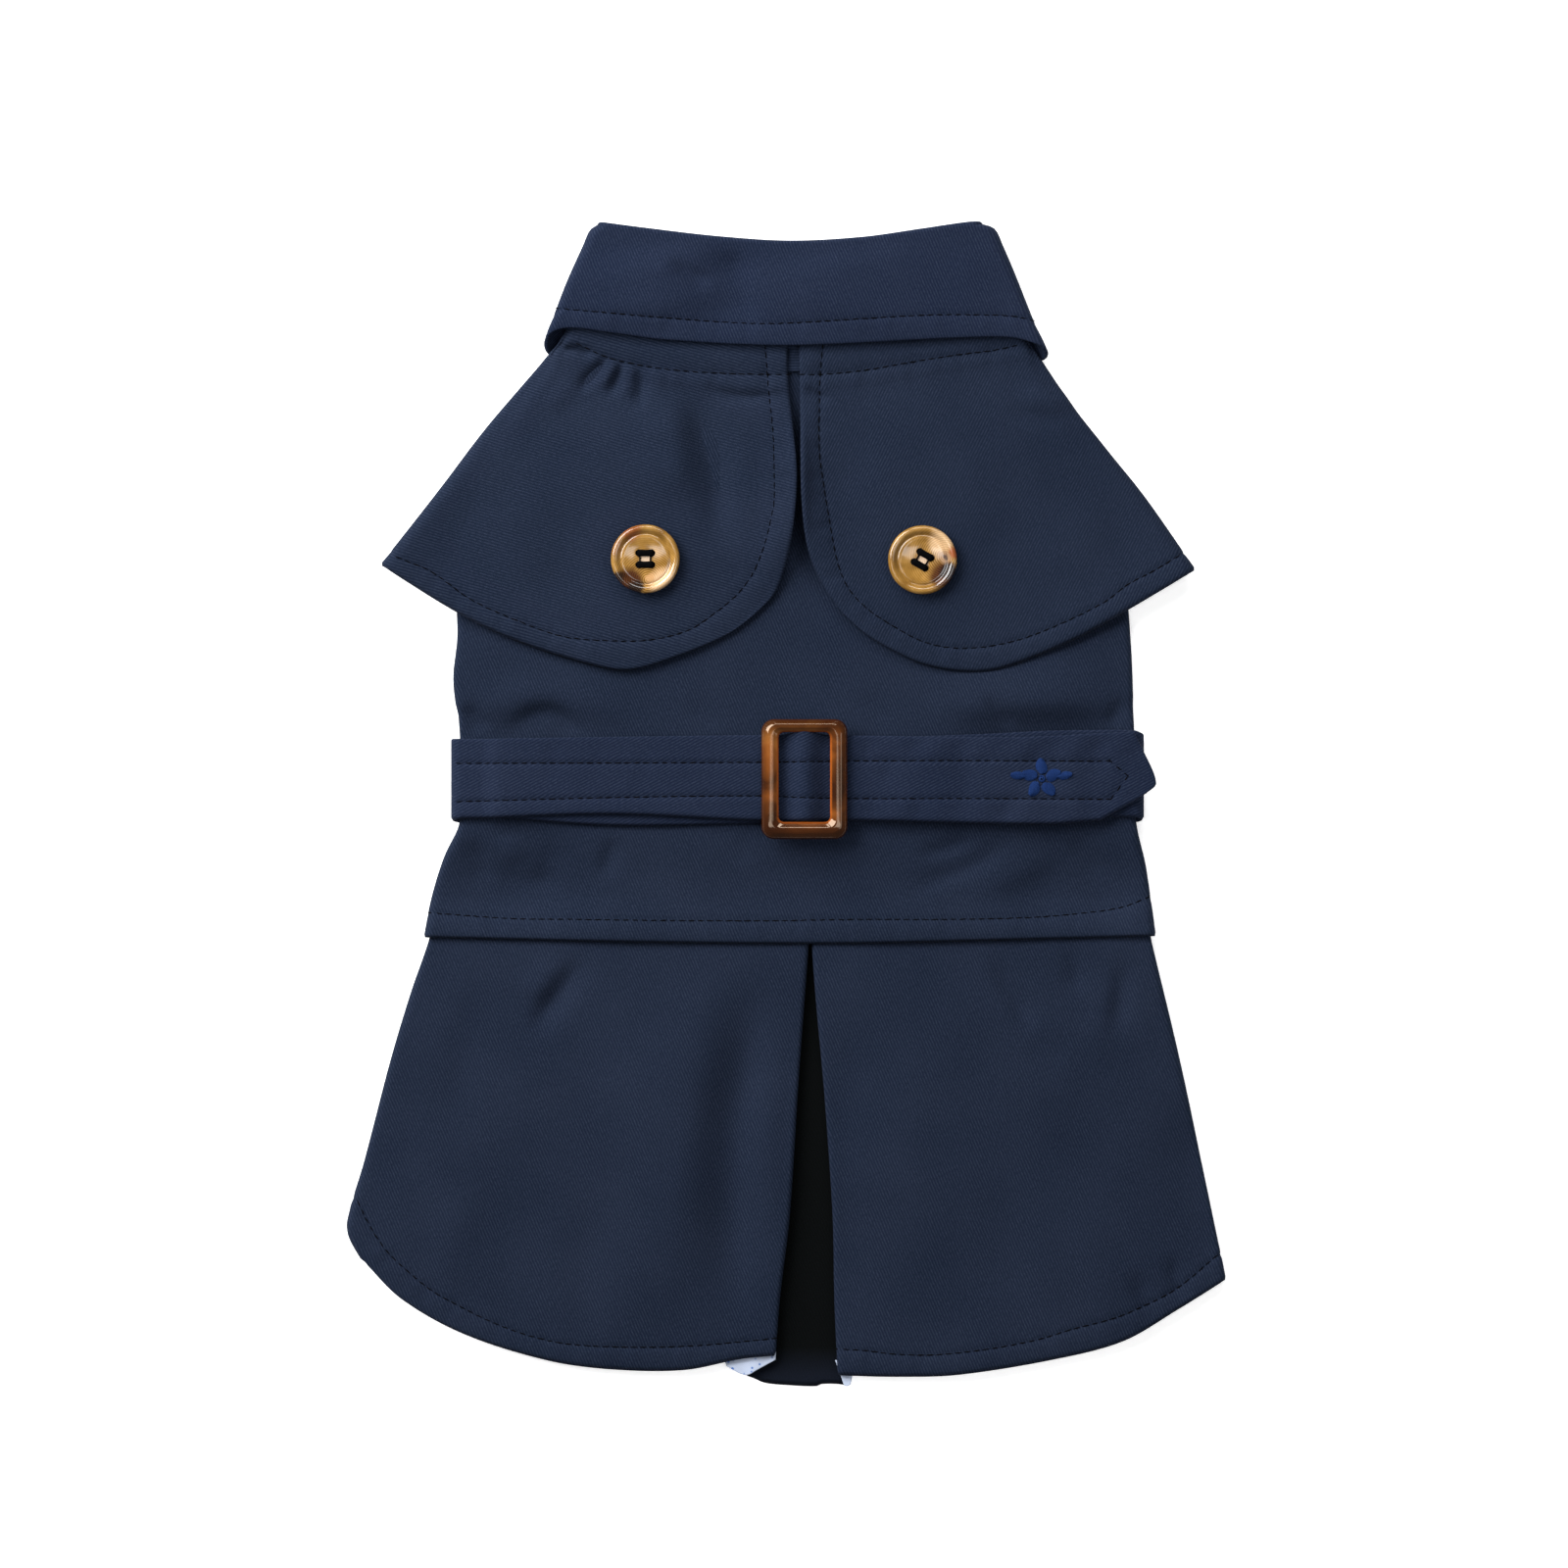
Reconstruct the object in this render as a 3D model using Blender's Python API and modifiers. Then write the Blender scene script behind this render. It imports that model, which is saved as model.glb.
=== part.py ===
"""Trench-style dog dress, laid flat on its belly with its back up.

Metres in the scene, millimetres in the tables. +Z is up, +Y points to the neck, +X to the right when looking
down on the back with the neck away. The origin is on the floor, at the centre of the dress.

Each cloth piece is an open grid through the middle of its cloth, thickened to both sides. The grid fills four
edge curves. Where cloth wraps round a side of the dress, the grid goes on round a fold and back underneath.
"""

import math
from collections import namedtuple

import bmesh
import bpy

MM = 0.001
Point = namedtuple("Point", "x y")
Turn = namedtuple("Turn", "width low")  # cloth turned under: how far it runs back, and at what height
Crease = namedtuple("Crease", "x0 y0 x1 y1 half_width depth")  # depth below 0 is a ridge

# Cloth and its layers, all heights to the middle of the cloth
CLOTH = 1.0
DOUBLE = 1.2  # two layers sewn and turned
GAP = 0.3
FLOOR = CLOTH / 2
FLOOR_DOUBLE = DOUBLE / 2
BODY_RISE = 2.8  # between the lower and the upper cloth of the body
BELT_LIFT = DOUBLE + GAP  # the body lies on the belt that runs under it
STAND_LOW = DOUBLE + GAP + CLOTH / 2
STAND_HIGH = FLOOR + BODY_RISE + CLOTH + 2 * GAP
FALL_HIGH = STAND_HIGH + CLOTH / 2 + GAP + DOUBLE / 2
SKIRT_TURN = CLOTH + GAP + CLOTH / 2
SKIRT = 3.4
BELT_LAYER = FLOOR + BELT_LIFT + BODY_RISE + CLOTH / 2 + GAP + DOUBLE / 2
BELT_TOP = BELT_LAYER + DOUBLE + 1.4 * GAP

# The dress, left and right of its middle line
BODY_LEFT = [
    Point(-66.4, 126.6), Point(-76.4, 111.3), Point(-90.6, 85.6), Point(-95.8, 62.8), Point(-95.8, 48.3),
    Point(-97.0, 36.0), Point(-95.2, 20.5), Point(-94.9, 8.0), Point(-95.2, -5.5), Point(-99.7, -15.2),
    Point(-103.4, -27.0), Point(-105.6, -38.8),
]
BODY_RIGHT = [
    Point(69.6, 126.2), Point(78.5, 111.3), Point(92.5, 85.6), Point(98.4, 62.8), Point(100.0, 45.5),
    Point(100.6, 30.0), Point(101.0, 18.0), Point(101.2, 4.0), Point(101.6, -6.0), Point(104.4, -18.0),
    Point(107.3, -38.4),
]
NECK_SEAM = [
    Point(-64.0, 134.1), Point(-57.6, 132.1), Point(-47.6, 128.4), Point(-34.2, 126.1), Point(-16.0, 125.0),
    Point(0.9, 124.7), Point(21.7, 125.8), Point(35.1, 128.1), Point(47.3, 130.1), Point(67.0, 133.6),
]
WAIST = [Point(-105.6, -38.8), Point(-61.3, -39.9), Point(-13.1, -40.6), Point(19.7, -40.6), Point(71.8, -39.4),
         Point(107.3, -38.4)]
BODY_NECK = [  # the body's cloth goes on a little way under the stand
    Point(-66.4, 126.6), Point(-57.6, 128.4), Point(-47.6, 129.4), Point(-34.2, 128.2), Point(0.9, 126.8),
    Point(35.1, 130.0), Point(47.3, 131.0), Point(60.0, 128.6), Point(69.6, 126.2),
]
BODY_TURN = 12.0
BODY_CROWN = 0.6
BODY_CROWN_NECK = 20.0  # the crown fades out over this length at the neck
TURN_LIFT = 0.3  # the corners of a turned edge stand this far off the floor
BODY_HALF = 95.0
LAP_RAMP = 12.0  # over this length the body rises on to the top of the skirt
LAP_LEVEL = 8.0  # and lies level on it
LAP_EASE = 0.55
BODY_LEVELS = (119.0, 105.0, 90.0, 75.0, 60.0, 45.0, 33.0, 27.6, 24.6, 21.6, 7.0, -8.2, -11.2, -14.2, -18.8,
               -24.8, -30.8)
BELLY_TOP = 124.0
BELLY_MARGIN = 3.2  # between the belly panel and the body's turned edges
LEG_HOLE = {"x": 34.0, "y": 88.0, "width": 34.0, "length": 44.0, "cut_height": 8.0}

# Cape flaps
CAPE_L = {
    "neck": [Point(-70.8, 127.6), Point(-65.0, 131.0), Point(-57.6, 131.0), Point(-47.6, 127.8),
             Point(-34.2, 125.5), Point(-18.0, 124.4), Point(0.2, 124.2)],
    "side": [Point(-70.8, 127.6), Point(-77.6, 120.5), Point(-87.9, 108.4), Point(-100.6, 91.8),
             Point(-118.1, 69.4)],
    "hem": [Point(-118.1, 69.4), Point(-96.0, 55.7), Point(-78.7, 47.3), Point(-58.0, 40.6),
            Point(-46.5, 38.7), Point(-33.3, 42.2), Point(-17.7, 48.8), Point(-9.7, 54.7)],
    "centre": [Point(0.2, 124.2), Point(1.6, 111.0), Point(2.8, 97.9), Point(2.6, 88.5), Point(1.6, 78.8),
               Point(-0.6, 68.5), Point(-3.6, 61.0), Point(-9.7, 54.7)],
}
CAPE_R = {
    "neck": [Point(3.9, 124.2), Point(21.7, 125.2), Point(35.1, 127.5), Point(47.3, 129.5), Point(60.4, 131.4),
             Point(68.5, 130.8), Point(74.6, 127.2)],
    "side": [Point(74.6, 127.2), Point(82.1, 116.4), Point(92.1, 103.9), Point(104.3, 88.8), Point(118.7, 68.0)],
    "hem": [Point(16.0, 55.4), Point(23.7, 48.6), Point(32.8, 43.4), Point(40.2, 40.3),
            Point(51.0, 38.4), Point(62.0, 39.2), Point(82.1, 47.0), Point(99.2, 56.4), Point(118.7, 68.0)],
    "centre": [Point(3.9, 124.2), Point(4.0, 101.0), Point(4.4, 87.1), Point(6.0, 74.2), Point(10.4, 63.6),
               Point(16.0, 55.4)],
}
CAPE_CORNER = 6.8  # the folded corner stands this high
CAPE_CORNER_LIFT = 1.6  # and its underside this far off the floor
CAPE_TURN = 18.0  # the most that it runs back underneath, up to a gap beside the body
CAPE_BODY_GAP = 5.0
CAPE_NECK_SIDE = 3.4
CAPE_CROWN = 1.2
CAPE_CROWN_RADIUS = 42.0
CAPE_CROWN_UP = 8.0  # the crown's middle is this much nearer the neck than the button
CAPE_EASE = 0.2
CAPE_MIDDLE = 3.3  # the x that parts the two flaps
CAPE_STEP = 2.5  # the least width over which a flap rises on to the body

# Collar
FALL = {
    "fold": [Point(-58.9, 163.4), Point(-55.6, 168.6), Point(-40.8, 167.2), Point(-20.0, 164.9),
             Point(0.9, 163.6), Point(21.9, 164.7), Point(39.0, 167.1), Point(57.5, 169.26), Point(62.2, 163.6)],
    "left": [Point(-58.9, 163.4), Point(-63.3, 154.0), Point(-67.6, 143.6), Point(-70.5, 136.2)],
    "right": [Point(62.2, 163.6), Point(66.4, 154.0), Point(71.0, 142.6), Point(75.9, 132.2)],
    "hem": [Point(-70.5, 136.2), Point(-63.6, 138.1), Point(-50.4, 136.6), Point(-35.1, 134.6),
            Point(0.3, 133.0), Point(50.4, 135.2), Point(65.8, 135.2), Point(75.9, 132.2)],
}
FALL_TURN = 46.0
FALL_FLARE = 0.6
FALL_DROP = (7.0, 4.2)  # underneath, the lower edge hangs this much lower at the left and at the right
STAND = {
    "top": [Point(-51.5, 160.9), Point(-40.0, 162.0), Point(0.9, 159.6), Point(40.0, 161.9),
            Point(55.0, 160.9)],
    "left": [Point(-51.5, 160.9), Point(-57.5, 148.0), Point(-63.3, 134.4)],
    "right": [Point(55.0, 160.9), Point(60.3, 148.0), Point(66.3, 133.9)],
}
STAND_TURN = 50.0
STAND_SEAM = 0.8  # the stand's lower edge is this much above the neck seam

# Belt
BELT = {
    "top": [Point(-90.0, 18.9), Point(-50.2, 19.5), Point(-7.4, 20.0), Point(17.4, 19.9), Point(67.8, 19.5),
            Point(91.0, 20.6)],
    "tip": [Point(100.6, 21.0), Point(103.4, 15.5), Point(107.1, 6.0), Point(104.0, 2.9)],
    "bottom": [Point(-90.0, -4.3), Point(-50.2, -3.1), Point(-7.7, -5.0), Point(17.4, -4.9), Point(74.1, -6.0),
               Point(91.0, -4.9)],
}
BELT_SIDE_LEFT = -97.6
BELT_SIDE_RIGHT = 103.7
BELT_DOWN_EDGE = -5.6
BELT_UP_EDGE = 19.0
UNDER_START = -82.0
UNDER_EDGE = {
    "top": [Point(-82.0, 17.2), Point(-7.4, 18.4), Point(55.6, 20.3), Point(75.8, 21.3), Point(96.0, 21.6)],
    "bottom": [Point(-82.0, -4.2), Point(-50.2, -6.4), Point(-13.4, -5.9), Point(17.4, -5.2),
               Point(96.0, -3.8)],
}
BELT_JOIN = 0.0  # where the two ends meet under the belly
BELT_ACROSS = 2  # faces across the belt
BELT_POINT = 0.62  # share of the tip's edge at which its point is
HUMP_HALF = 6.6
HUMP_RISE = 3.0
BAND_RAMP = 6.0  # over this length the body rises on to the belt
BAND_MARGIN = 2.6

# Slide buckle
SLIDE = {"x": 5.05, "y": 7.2, "width": 24.9, "length": 34.8, "thick": 3.4, "side_bar": 5.0, "end_bar": 4.4,
         "corner": 3.6, "inner_corner": 1.6, "round": 1.3}
CENTRE_BAR_RADIUS = 1.1
CENTRE_BAR_LIFT = 0.5
SLIDE_EASE = 0.2

# Buttons
BUTTON_PROFILE = [  # radius and height, from the middle of the top out and down to the middle of the back
    Point(0.0, 1.5), Point(5.2, 1.6), Point(6.6, 2.0), Point(7.2, 1.9), Point(7.6, 2.3), Point(8.6, 2.9),
    Point(9.4, 2.7), Point(10.0, 1.9), Point(9.6, 0.7), Point(8.2, 0.1), Point(0.0, 0.0),
]
BUTTON_HOLE_RADIUS = 1.0
BUTTON_HOLE_SPACING = 3.3
BUTTON_HOLE_DEPTH = 12.0
BUTTONS = {"button_left": (-41.1, 71.1, 0.0), "button_right": (39.3, 70.8, -30.0)}  # x, y, turn in degrees

# Skirt
SKIRT_L = {
    "waist": [Point(-103.1, -34.5), Point(-61.3, -35.0), Point(-13.1, -35.6), Point(6.7, -35.8)],
    "side": [Point(-103.1, -34.5), Point(-104.2, -40.0), Point(-109.2, -54.6), Point(-115.2, -75.0),
             Point(-122.8, -104.5), Point(-127.2, -120.0), Point(-127.0, -125.5), Point(-123.1, -132.7)],
    "hem": [Point(-123.1, -132.7), Point(-112.0, -143.8), Point(-93.8, -154.0), Point(-69.3, -161.7),
            Point(-50.0, -164.3), Point(-29.6, -164.4), Point(-13.1, -161.2), Point(-3.1, -160.3)],
    "pleat": [Point(6.7, -35.8), Point(6.3, -42.0), Point(3.4, -80.8), Point(0.9, -119.6), Point(-2.0, -144.4),
              Point(-3.1, -160.3)],
}
SKIRT_R = {
    "waist": [Point(7.1, -35.8), Point(45.9, -35.2), Point(105.0, -34.5)],
    "side": [Point(105.0, -34.5), Point(106.0, -40.0), Point(113.7, -72.5), Point(121.7, -109.9),
             Point(127.5, -138.2)],
    "hem": [Point(14.6, -166.0), Point(32.2, -166.4), Point(50.0, -165.8), Point(78.4, -161.2),
            Point(97.8, -156.0), Point(113.7, -146.8), Point(127.5, -138.2)],
    "pleat": [Point(7.1, -35.8), Point(7.2, -41.2), Point(8.3, -56.3), Point(10.8, -84.8), Point(13.1, -119.6),
              Point(13.7, -144.4), Point(14.6, -166.0)],
}
SKIRT_SIDE_TURN = 26.0
PLEAT_TURN = 13.0
PLEAT_DROP = (5.0, 2.4)  # left and right of the pleat the turned cloth hangs this much below the hem
HEM_LIFT = 0.15
SKIRT_CROWN = 0.5
SKIRT_CREASES = [
    Crease(-18.5, -44.0, -20.0, -158.0, 7.0, 0.9),
    Crease(-31.0, -60.0, -33.0, -162.0, 6.0, -0.7),
    Crease(-58.0, -41.0, -72.0, -62.0, 5.0, 0.7),
    Crease(84.0, -42.0, 90.0, -56.0, 4.0, 0.6),
    Crease(100.0, -150.0, 88.0, -120.0, 7.0, -0.8),
]
UNDERLAY = {
    "top": [Point(-6.0, -38.6), Point(20.0, -38.6)],
    "left": [Point(-6.0, -38.6), Point(-12.2, -166.5)],
    "right": [Point(20.0, -38.6), Point(18.6, -168.4)],
    "hem": [Point(-12.2, -166.5), Point(-6.8, -168.5), Point(8.5, -169.5), Point(18.6, -168.4)],
}
FACING_L = {
    "top": [Point(-13.3, -162.2), Point(-9.5, -161.6), Point(-5.9, -161.2)],
    "bottom": [Point(-12.0, -165.2), Point(-9.0, -165.8), Point(-5.9, -165.6)],
}
FACING_R = {
    "top": [Point(17.3, -166.9), Point(19.4, -167.0), Point(21.4, -167.0)],
    "bottom": [Point(17.3, -168.4), Point(18.8, -168.8), Point(20.2, -168.4)],
}
FACING = SKIRT_TURN + CLOTH + GAP

COLOURS = {
    "navy_twill": ((0.016, 0.024, 0.048, 1.0), 0.85),
    "tortoise_resin": ((0.14, 0.040, 0.010, 1.0), 0.2),
    "horn_resin": ((0.45, 0.24, 0.075, 1.0), 0.22),
    "printed_cotton": ((0.72, 0.76, 0.84, 1.0), 0.9),
}


def clear_scene():
    for obj in list(bpy.data.objects):
        bpy.data.objects.remove(obj)


def collection(name):
    made = bpy.data.collections.new(name)
    bpy.context.scene.collection.children.link(made)
    return made


def material(name):
    """The named material, made once."""
    if name in bpy.data.materials:
        return bpy.data.materials[name]
    made = bpy.data.materials.new(name)
    made.use_nodes = True
    shader = made.node_tree.nodes["Principled BSDF"]
    colour, roughness = COLOURS[name]
    shader.inputs["Base Color"].default_value = colour
    shader.inputs["Roughness"].default_value = roughness
    shader.inputs["Metallic"].default_value = 0.0
    return made


def smooth(t):
    t = min(1.0, max(0.0, t))
    return t * t * (3.0 - 2.0 * t)


def mix(a, b, t):
    return a + (b - a) * t


def along(points, t):
    """The point at share t of the length of a smooth curve through the points."""
    if len(points) == 2:
        return Point(mix(points[0].x, points[1].x, t), mix(points[0].y, points[1].y, t))
    knots = [0.0]
    for a, b in zip(points, points[1:]):
        knots.append(knots[-1] + math.hypot(b.x - a.x, b.y - a.y))
    at = min(1.0, max(0.0, t)) * knots[-1]
    i = max(k for k in range(len(points) - 1) if knots[k] <= at + 1e-9)
    span = knots[i + 1] - knots[i]

    def slope(k, axis):
        before, after = max(k - 1, 0), min(k + 1, len(points) - 1)
        return (points[after][axis] - points[before][axis]) / (knots[after] - knots[before])

    s = (at - knots[i]) / span
    h = (2 * s**3 - 3 * s**2 + 1, s**3 - 2 * s**2 + s, 3 * s**2 - 2 * s**3, s**3 - s**2)
    return Point(*(
        h[0] * points[i][axis] + h[1] * span * slope(i, axis)
        + h[2] * points[i + 1][axis] + h[3] * span * slope(i + 1, axis)
        for axis in (0, 1)
    ))


def patch(top, bottom, left, right, u, v):
    """A point of the surface stretched between four edge curves: u runs left to right, v from top to bottom."""
    t, b, l, r = along(top, u), along(bottom, u), along(left, v), along(right, v)
    corners = (top[0], top[-1], bottom[0], bottom[-1])
    return Point(*(
        mix(t[a], b[a], v) + mix(l[a], r[a], u)
        - mix(mix(corners[0][a], corners[1][a], u), mix(corners[2][a], corners[3][a], u), v)
        for a in (0, 1)
    ))


def share_at(edge, value, axis=1):
    """The share of an edge curve at which its x (axis 0) or y (axis 1), which only rises or falls, is value."""
    rising = edge[-1][axis] > edge[0][axis]
    low, high = 0.0, 1.0
    for _ in range(24):
        middle = (low + high) / 2
        if (along(edge, middle)[axis] < value) == rising:
            low = middle
        else:
            high = middle
    return low


def crossing(edge, y):
    """Where an edge curve that runs down the dress passes the height y."""
    return along(edge, share_at(edge, y)).x


def crease_depth(creases, x, y):
    """The sum of the troughs and ridges at a point, each fading at its ends and sides."""
    total = 0.0
    for c in creases:
        run = Point(c.x1 - c.x0, c.y1 - c.y0)
        length = math.hypot(*run)
        share = ((x - c.x0) * run.x + (y - c.y0) * run.y) / length**2
        off = abs((x - c.x0) * run.y - (y - c.y0) * run.x) / length
        fade = smooth(share * 4 + 0.5) * smooth((1 - share) * 4 + 0.5)
        total += c.depth * fade * (1 - smooth(off / c.half_width))
    return total


def belt_lift(y):
    """How far the belt under the body lifts it."""
    above = smooth((BELT_UP_EDGE + BAND_MARGIN + BAND_RAMP - y) / BAND_RAMP)
    below = smooth((y - BELT_DOWN_EDGE + BAND_MARGIN + BAND_RAMP) / BAND_RAMP)
    return BELT_LIFT * above * below


def body_height(x, y):
    """The middle of the body's upper cloth: lifted and held flat by the belt, and raised over the skirt's top."""
    lift = belt_lift(y)
    lap = smooth((WAIST[0].y + LAP_RAMP + LAP_LEVEL - y) / LAP_RAMP)
    neck = smooth((BODY_LEFT[0].y - y) / BODY_CROWN_NECK)
    crown = BODY_CROWN * max(0.0, 1 - (x / BODY_HALF) ** 2) * (1 - lift / BELT_LIFT) * (1 - lap) * neck
    level = FLOOR + BODY_RISE + lift + crown
    return level + lap * (SKIRT + CLOTH + GAP + LAP_EASE - FLOOR - BODY_RISE)


def wall(name, rows, slot, thickness, home):
    """A cloth wall: an open grid through the middle of the cloth, thickened to both sides."""
    across = len(rows[0])
    faces = [
        (j * across + i, j * across + i + 1, (j + 1) * across + i + 1, (j + 1) * across + i)
        for j in range(len(rows) - 1)
        for i in range(across - 1)
    ]
    mesh = bpy.data.meshes.new(name)
    mesh.from_pydata([[c * MM for c in point] for row in rows for point in row], [], faces)
    mesh.materials.append(material(slot))
    mesh.shade_smooth()
    obj = bpy.data.objects.new(name, mesh)
    home.objects.link(obj)
    solidify = obj.modifiers.new("cloth", "SOLIDIFY")
    solidify.thickness = thickness * MM
    solidify.offset = 0
    solidify.use_even_offset = True
    return obj


def even(count):
    return [k / count for k in range(count + 1)]


def panel_rows(edges, columns, rows, height, thickness, left=None, right=None, arc=4, back=1, drop=(0.0, 0.0)):
    """The grid of a panel. edges gives the top, bottom, left and right curves, rows the shares of the way down
    at which it has a row, and height(x, y, u, v) the middle's height. left and right are functions of v that give
    the Turn with which the cloth goes back under itself. drop says how much lower its lower edge hangs there."""
    grid = []
    for v in rows:
        ends = [patch(*edges, u, v) for u in (0.0, 1.0)]
        width = ends[1].x - ends[0].x
        turns = [turn and turn(v) for turn in (left, right)]
        inset = [0.0, 0.0]
        for side, turn in enumerate(turns):
            if turn:
                rise = height(ends[side].x, ends[side].y, float(side), v) - turn.low
                inset[side] = thickness / 2 + rise / 2
        u0, u1 = inset[0] / width, 1 - inset[1] / width
        row = []
        for i in range(columns + 1):
            u = mix(u0, u1, i / columns)
            p = patch(*edges, u, v)
            row.append((p.x, p.y, height(p.x, p.y, u, v)))
        for side, turn in enumerate(turns):
            if not turn:
                continue
            start = row[-1] if side else row[0]
            radius = (start[2] - turn.low) / 2
            sign = 1 if side else -1
            under = []
            for k in range(1, arc + back + 1):
                if k <= arc:
                    angle = math.pi * k / arc
                    x = start[0] + sign * radius * math.sin(angle)
                    z = turn.low + radius * (1 + math.cos(angle))
                else:
                    x = start[0] - sign * turn.width * (k - arc) / back
                    z = turn.low
                y = patch(*edges, (x - ends[0].x) / width, v).y - drop[side] * v * smooth(k / arc)
                under.append((x, y, z))
            row = row + under if side else under[::-1] + row
        grid.append(row)
    return grid


def build_body(home):
    def turn(v):
        y = along(BODY_LEFT, v).y
        return Turn(BODY_TURN * smooth(v * 4 + 0.5), FLOOR + belt_lift(y) + TURN_LIFT * (1 - smooth(v * 10)))

    levels = [0.0, *(share_at(BODY_LEFT, y) for y in BODY_LEVELS), 1.0]
    edges = (BODY_NECK, WAIST, BODY_LEFT, BODY_RIGHT)
    rows = panel_rows(edges, 10, levels, lambda x, y, u, v: body_height(x, y), CLOTH, turn, turn)
    wall("bodice_back", rows, "navy_twill", CLOTH, home)


def build_belly(home, cutters):
    """The plain panel under the body, between the body's turned edges, with two leg holes."""
    inner = BODY_TURN + BELLY_MARGIN
    levels = [BELLY_TOP, *BODY_LEVELS, WAIST[0].y + 1.0]
    rows = []
    for y in levels:
        left, right = crossing(BODY_LEFT, y) + inner, crossing(BODY_RIGHT, y) - inner
        rows.append([(mix(left, right, u), y, FLOOR + belt_lift(y)) for u in even(2)])
    belly = wall("belly_panel", rows, "navy_twill", CLOTH, home)
    for side in (-1, 1):
        mesh = bpy.data.meshes.new("leg_hole")
        shape = bmesh.new()
        bmesh.ops.create_cone(shape, cap_ends=True, segments=24, radius1=0.5, radius2=0.5, depth=1.0)
        size = (LEG_HOLE["width"] * MM, LEG_HOLE["length"] * MM, LEG_HOLE["cut_height"] * MM)
        bmesh.ops.scale(shape, vec=size, verts=shape.verts)
        shape.to_mesh(mesh)
        shape.free()
        cutter = bpy.data.objects.new("leg_hole_cutter", mesh)
        cutter.location = (side * LEG_HOLE["x"] * MM, LEG_HOLE["y"] * MM, 0)
        cutter.hide_render = True
        cutter.display_type = "WIRE"
        cutters.objects.link(cutter)
        cut = belly.modifiers.new("leg hole", "BOOLEAN")
        cut.object = cutter
        cut.operation = "DIFFERENCE"


def cape_height(x, y):
    """The middle of a cape flap: on the body, crowned round its button, and down to its folded side beyond it."""
    edge, body, button = (
        (CAPE_L["side"], BODY_LEFT, BUTTONS["button_left"])
        if x < CAPE_MIDDLE
        else (CAPE_R["side"], BODY_RIGHT, BUTTONS["button_right"])
    )
    side = crossing(edge, max(y, edge[-1].y))
    beyond = abs(side - crossing(body, y))
    down = smooth((edge[0].y - y) / (edge[0].y - edge[-1].y))
    folded = mix(CAPE_NECK_SIDE, CAPE_CORNER, down)
    on_body = smooth(abs(x - side) / max(beyond, CAPE_STEP))
    off = math.hypot(x - button[0], y - button[1] - CAPE_CROWN_UP)
    crown = CAPE_CROWN * max(0.0, 1 - (off / CAPE_CROWN_RADIUS) ** 2)
    return mix(folded, body_height(x, y) + (CLOTH + DOUBLE) / 2 + GAP + CAPE_EASE, on_body) + crown


def build_cape(home):
    for name, edges, side in (("cape_left", CAPE_L, 0), ("cape_right", CAPE_R, 1)):
        body = (BODY_LEFT, BODY_RIGHT)[side]

        def turned(v):
            y = along(edges["side"], v).y
            reach = abs(along(edges["side"], v).x - crossing(body, y))
            lift = CAPE_CORNER_LIFT * smooth(v * 2 - 1) + TURN_LIFT * (1 - smooth(v * 6))
            return Turn(max(1.0, min(CAPE_TURN, reach - CAPE_BODY_GAP)), FLOOR_DOUBLE + lift)

        outline = (
            edges["neck"], edges["hem"],
            edges["side"] if side == 0 else edges["centre"],
            edges["centre"] if side == 0 else edges["side"],
        )
        left = turned if side == 0 else None
        right = turned if side == 1 else None
        rows = panel_rows(outline, 11, even(11), lambda x, y, u, v: cape_height(x, y), DOUBLE, left, right)
        wall(name, rows, "navy_twill", DOUBLE, home)


def build_collar(home):
    seam = [Point(p.x, p.y + STAND_SEAM) for p in NECK_SEAM]
    seam[0], seam[-1] = STAND["left"][-1], STAND["right"][-1]
    edges = (STAND["top"], seam, STAND["left"], STAND["right"])

    def stand_turn(v):
        return Turn(STAND_TURN, STAND_LOW)

    rows = panel_rows(edges, 10, even(4), lambda x, y, u, v: STAND_HIGH, CLOTH, stand_turn, stand_turn)
    wall("collar_stand", rows, "navy_twill", CLOTH, home)

    # The fold of the fall rolls over the top of the stand: its first rows shrink round the roll.
    roll = (FALL_HIGH - STAND_HIGH) / 2
    rows = []
    for angle in (math.pi, math.pi * 3 / 4, math.pi / 2, math.pi / 4, 0.0):
        shrink = roll * (1 - math.cos(angle))
        back = roll * (1 - math.sin(angle)) + DOUBLE / 2

        def fall_turn(v):
            return Turn(FALL_TURN - shrink, FLOOR_DOUBLE + shrink)

        def fall_height(x, y, u, v):
            return FALL_HIGH - shrink + FALL_FLARE * smooth(v) * math.sin(math.pi * min(1, max(0, u)))

        fold = [Point(p.x, p.y - back) for p in FALL["fold"]]
        left = [Point(FALL["left"][0].x + shrink, fold[0].y), *FALL["left"][1:]]
        right = [Point(FALL["right"][0].x - shrink, fold[-1].y), *FALL["right"][1:]]
        edges = ([left[0], *fold[1:-1], right[0]], FALL["hem"], left, right)
        shares = [0.0] if angle else even(5)
        rows += panel_rows(edges, 12, shares, fall_height, DOUBLE, fall_turn, fall_turn, 5, 2, FALL_DROP)
    wall("collar_fall", rows, "navy_twill", DOUBLE, home)


def belt_fold(x, y_up, y_down, radius, sign, steps=5):
    """Rows of a belt layer round the side of the dress, from the top of the fold to its foot."""
    rows = []
    for k in range(steps + 1):
        angle = math.pi * k / steps
        up, down = mix(y_up, BELT_UP_EDGE, k / steps), mix(y_down, BELT_DOWN_EDGE, k / steps)
        z = FLOOR_DOUBLE + radius * (1 + math.cos(angle))
        rows.append([(x + sign * radius * math.sin(angle), mix(up, down, t), z) for t in even(BELT_ACROSS)])
    return rows


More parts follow.
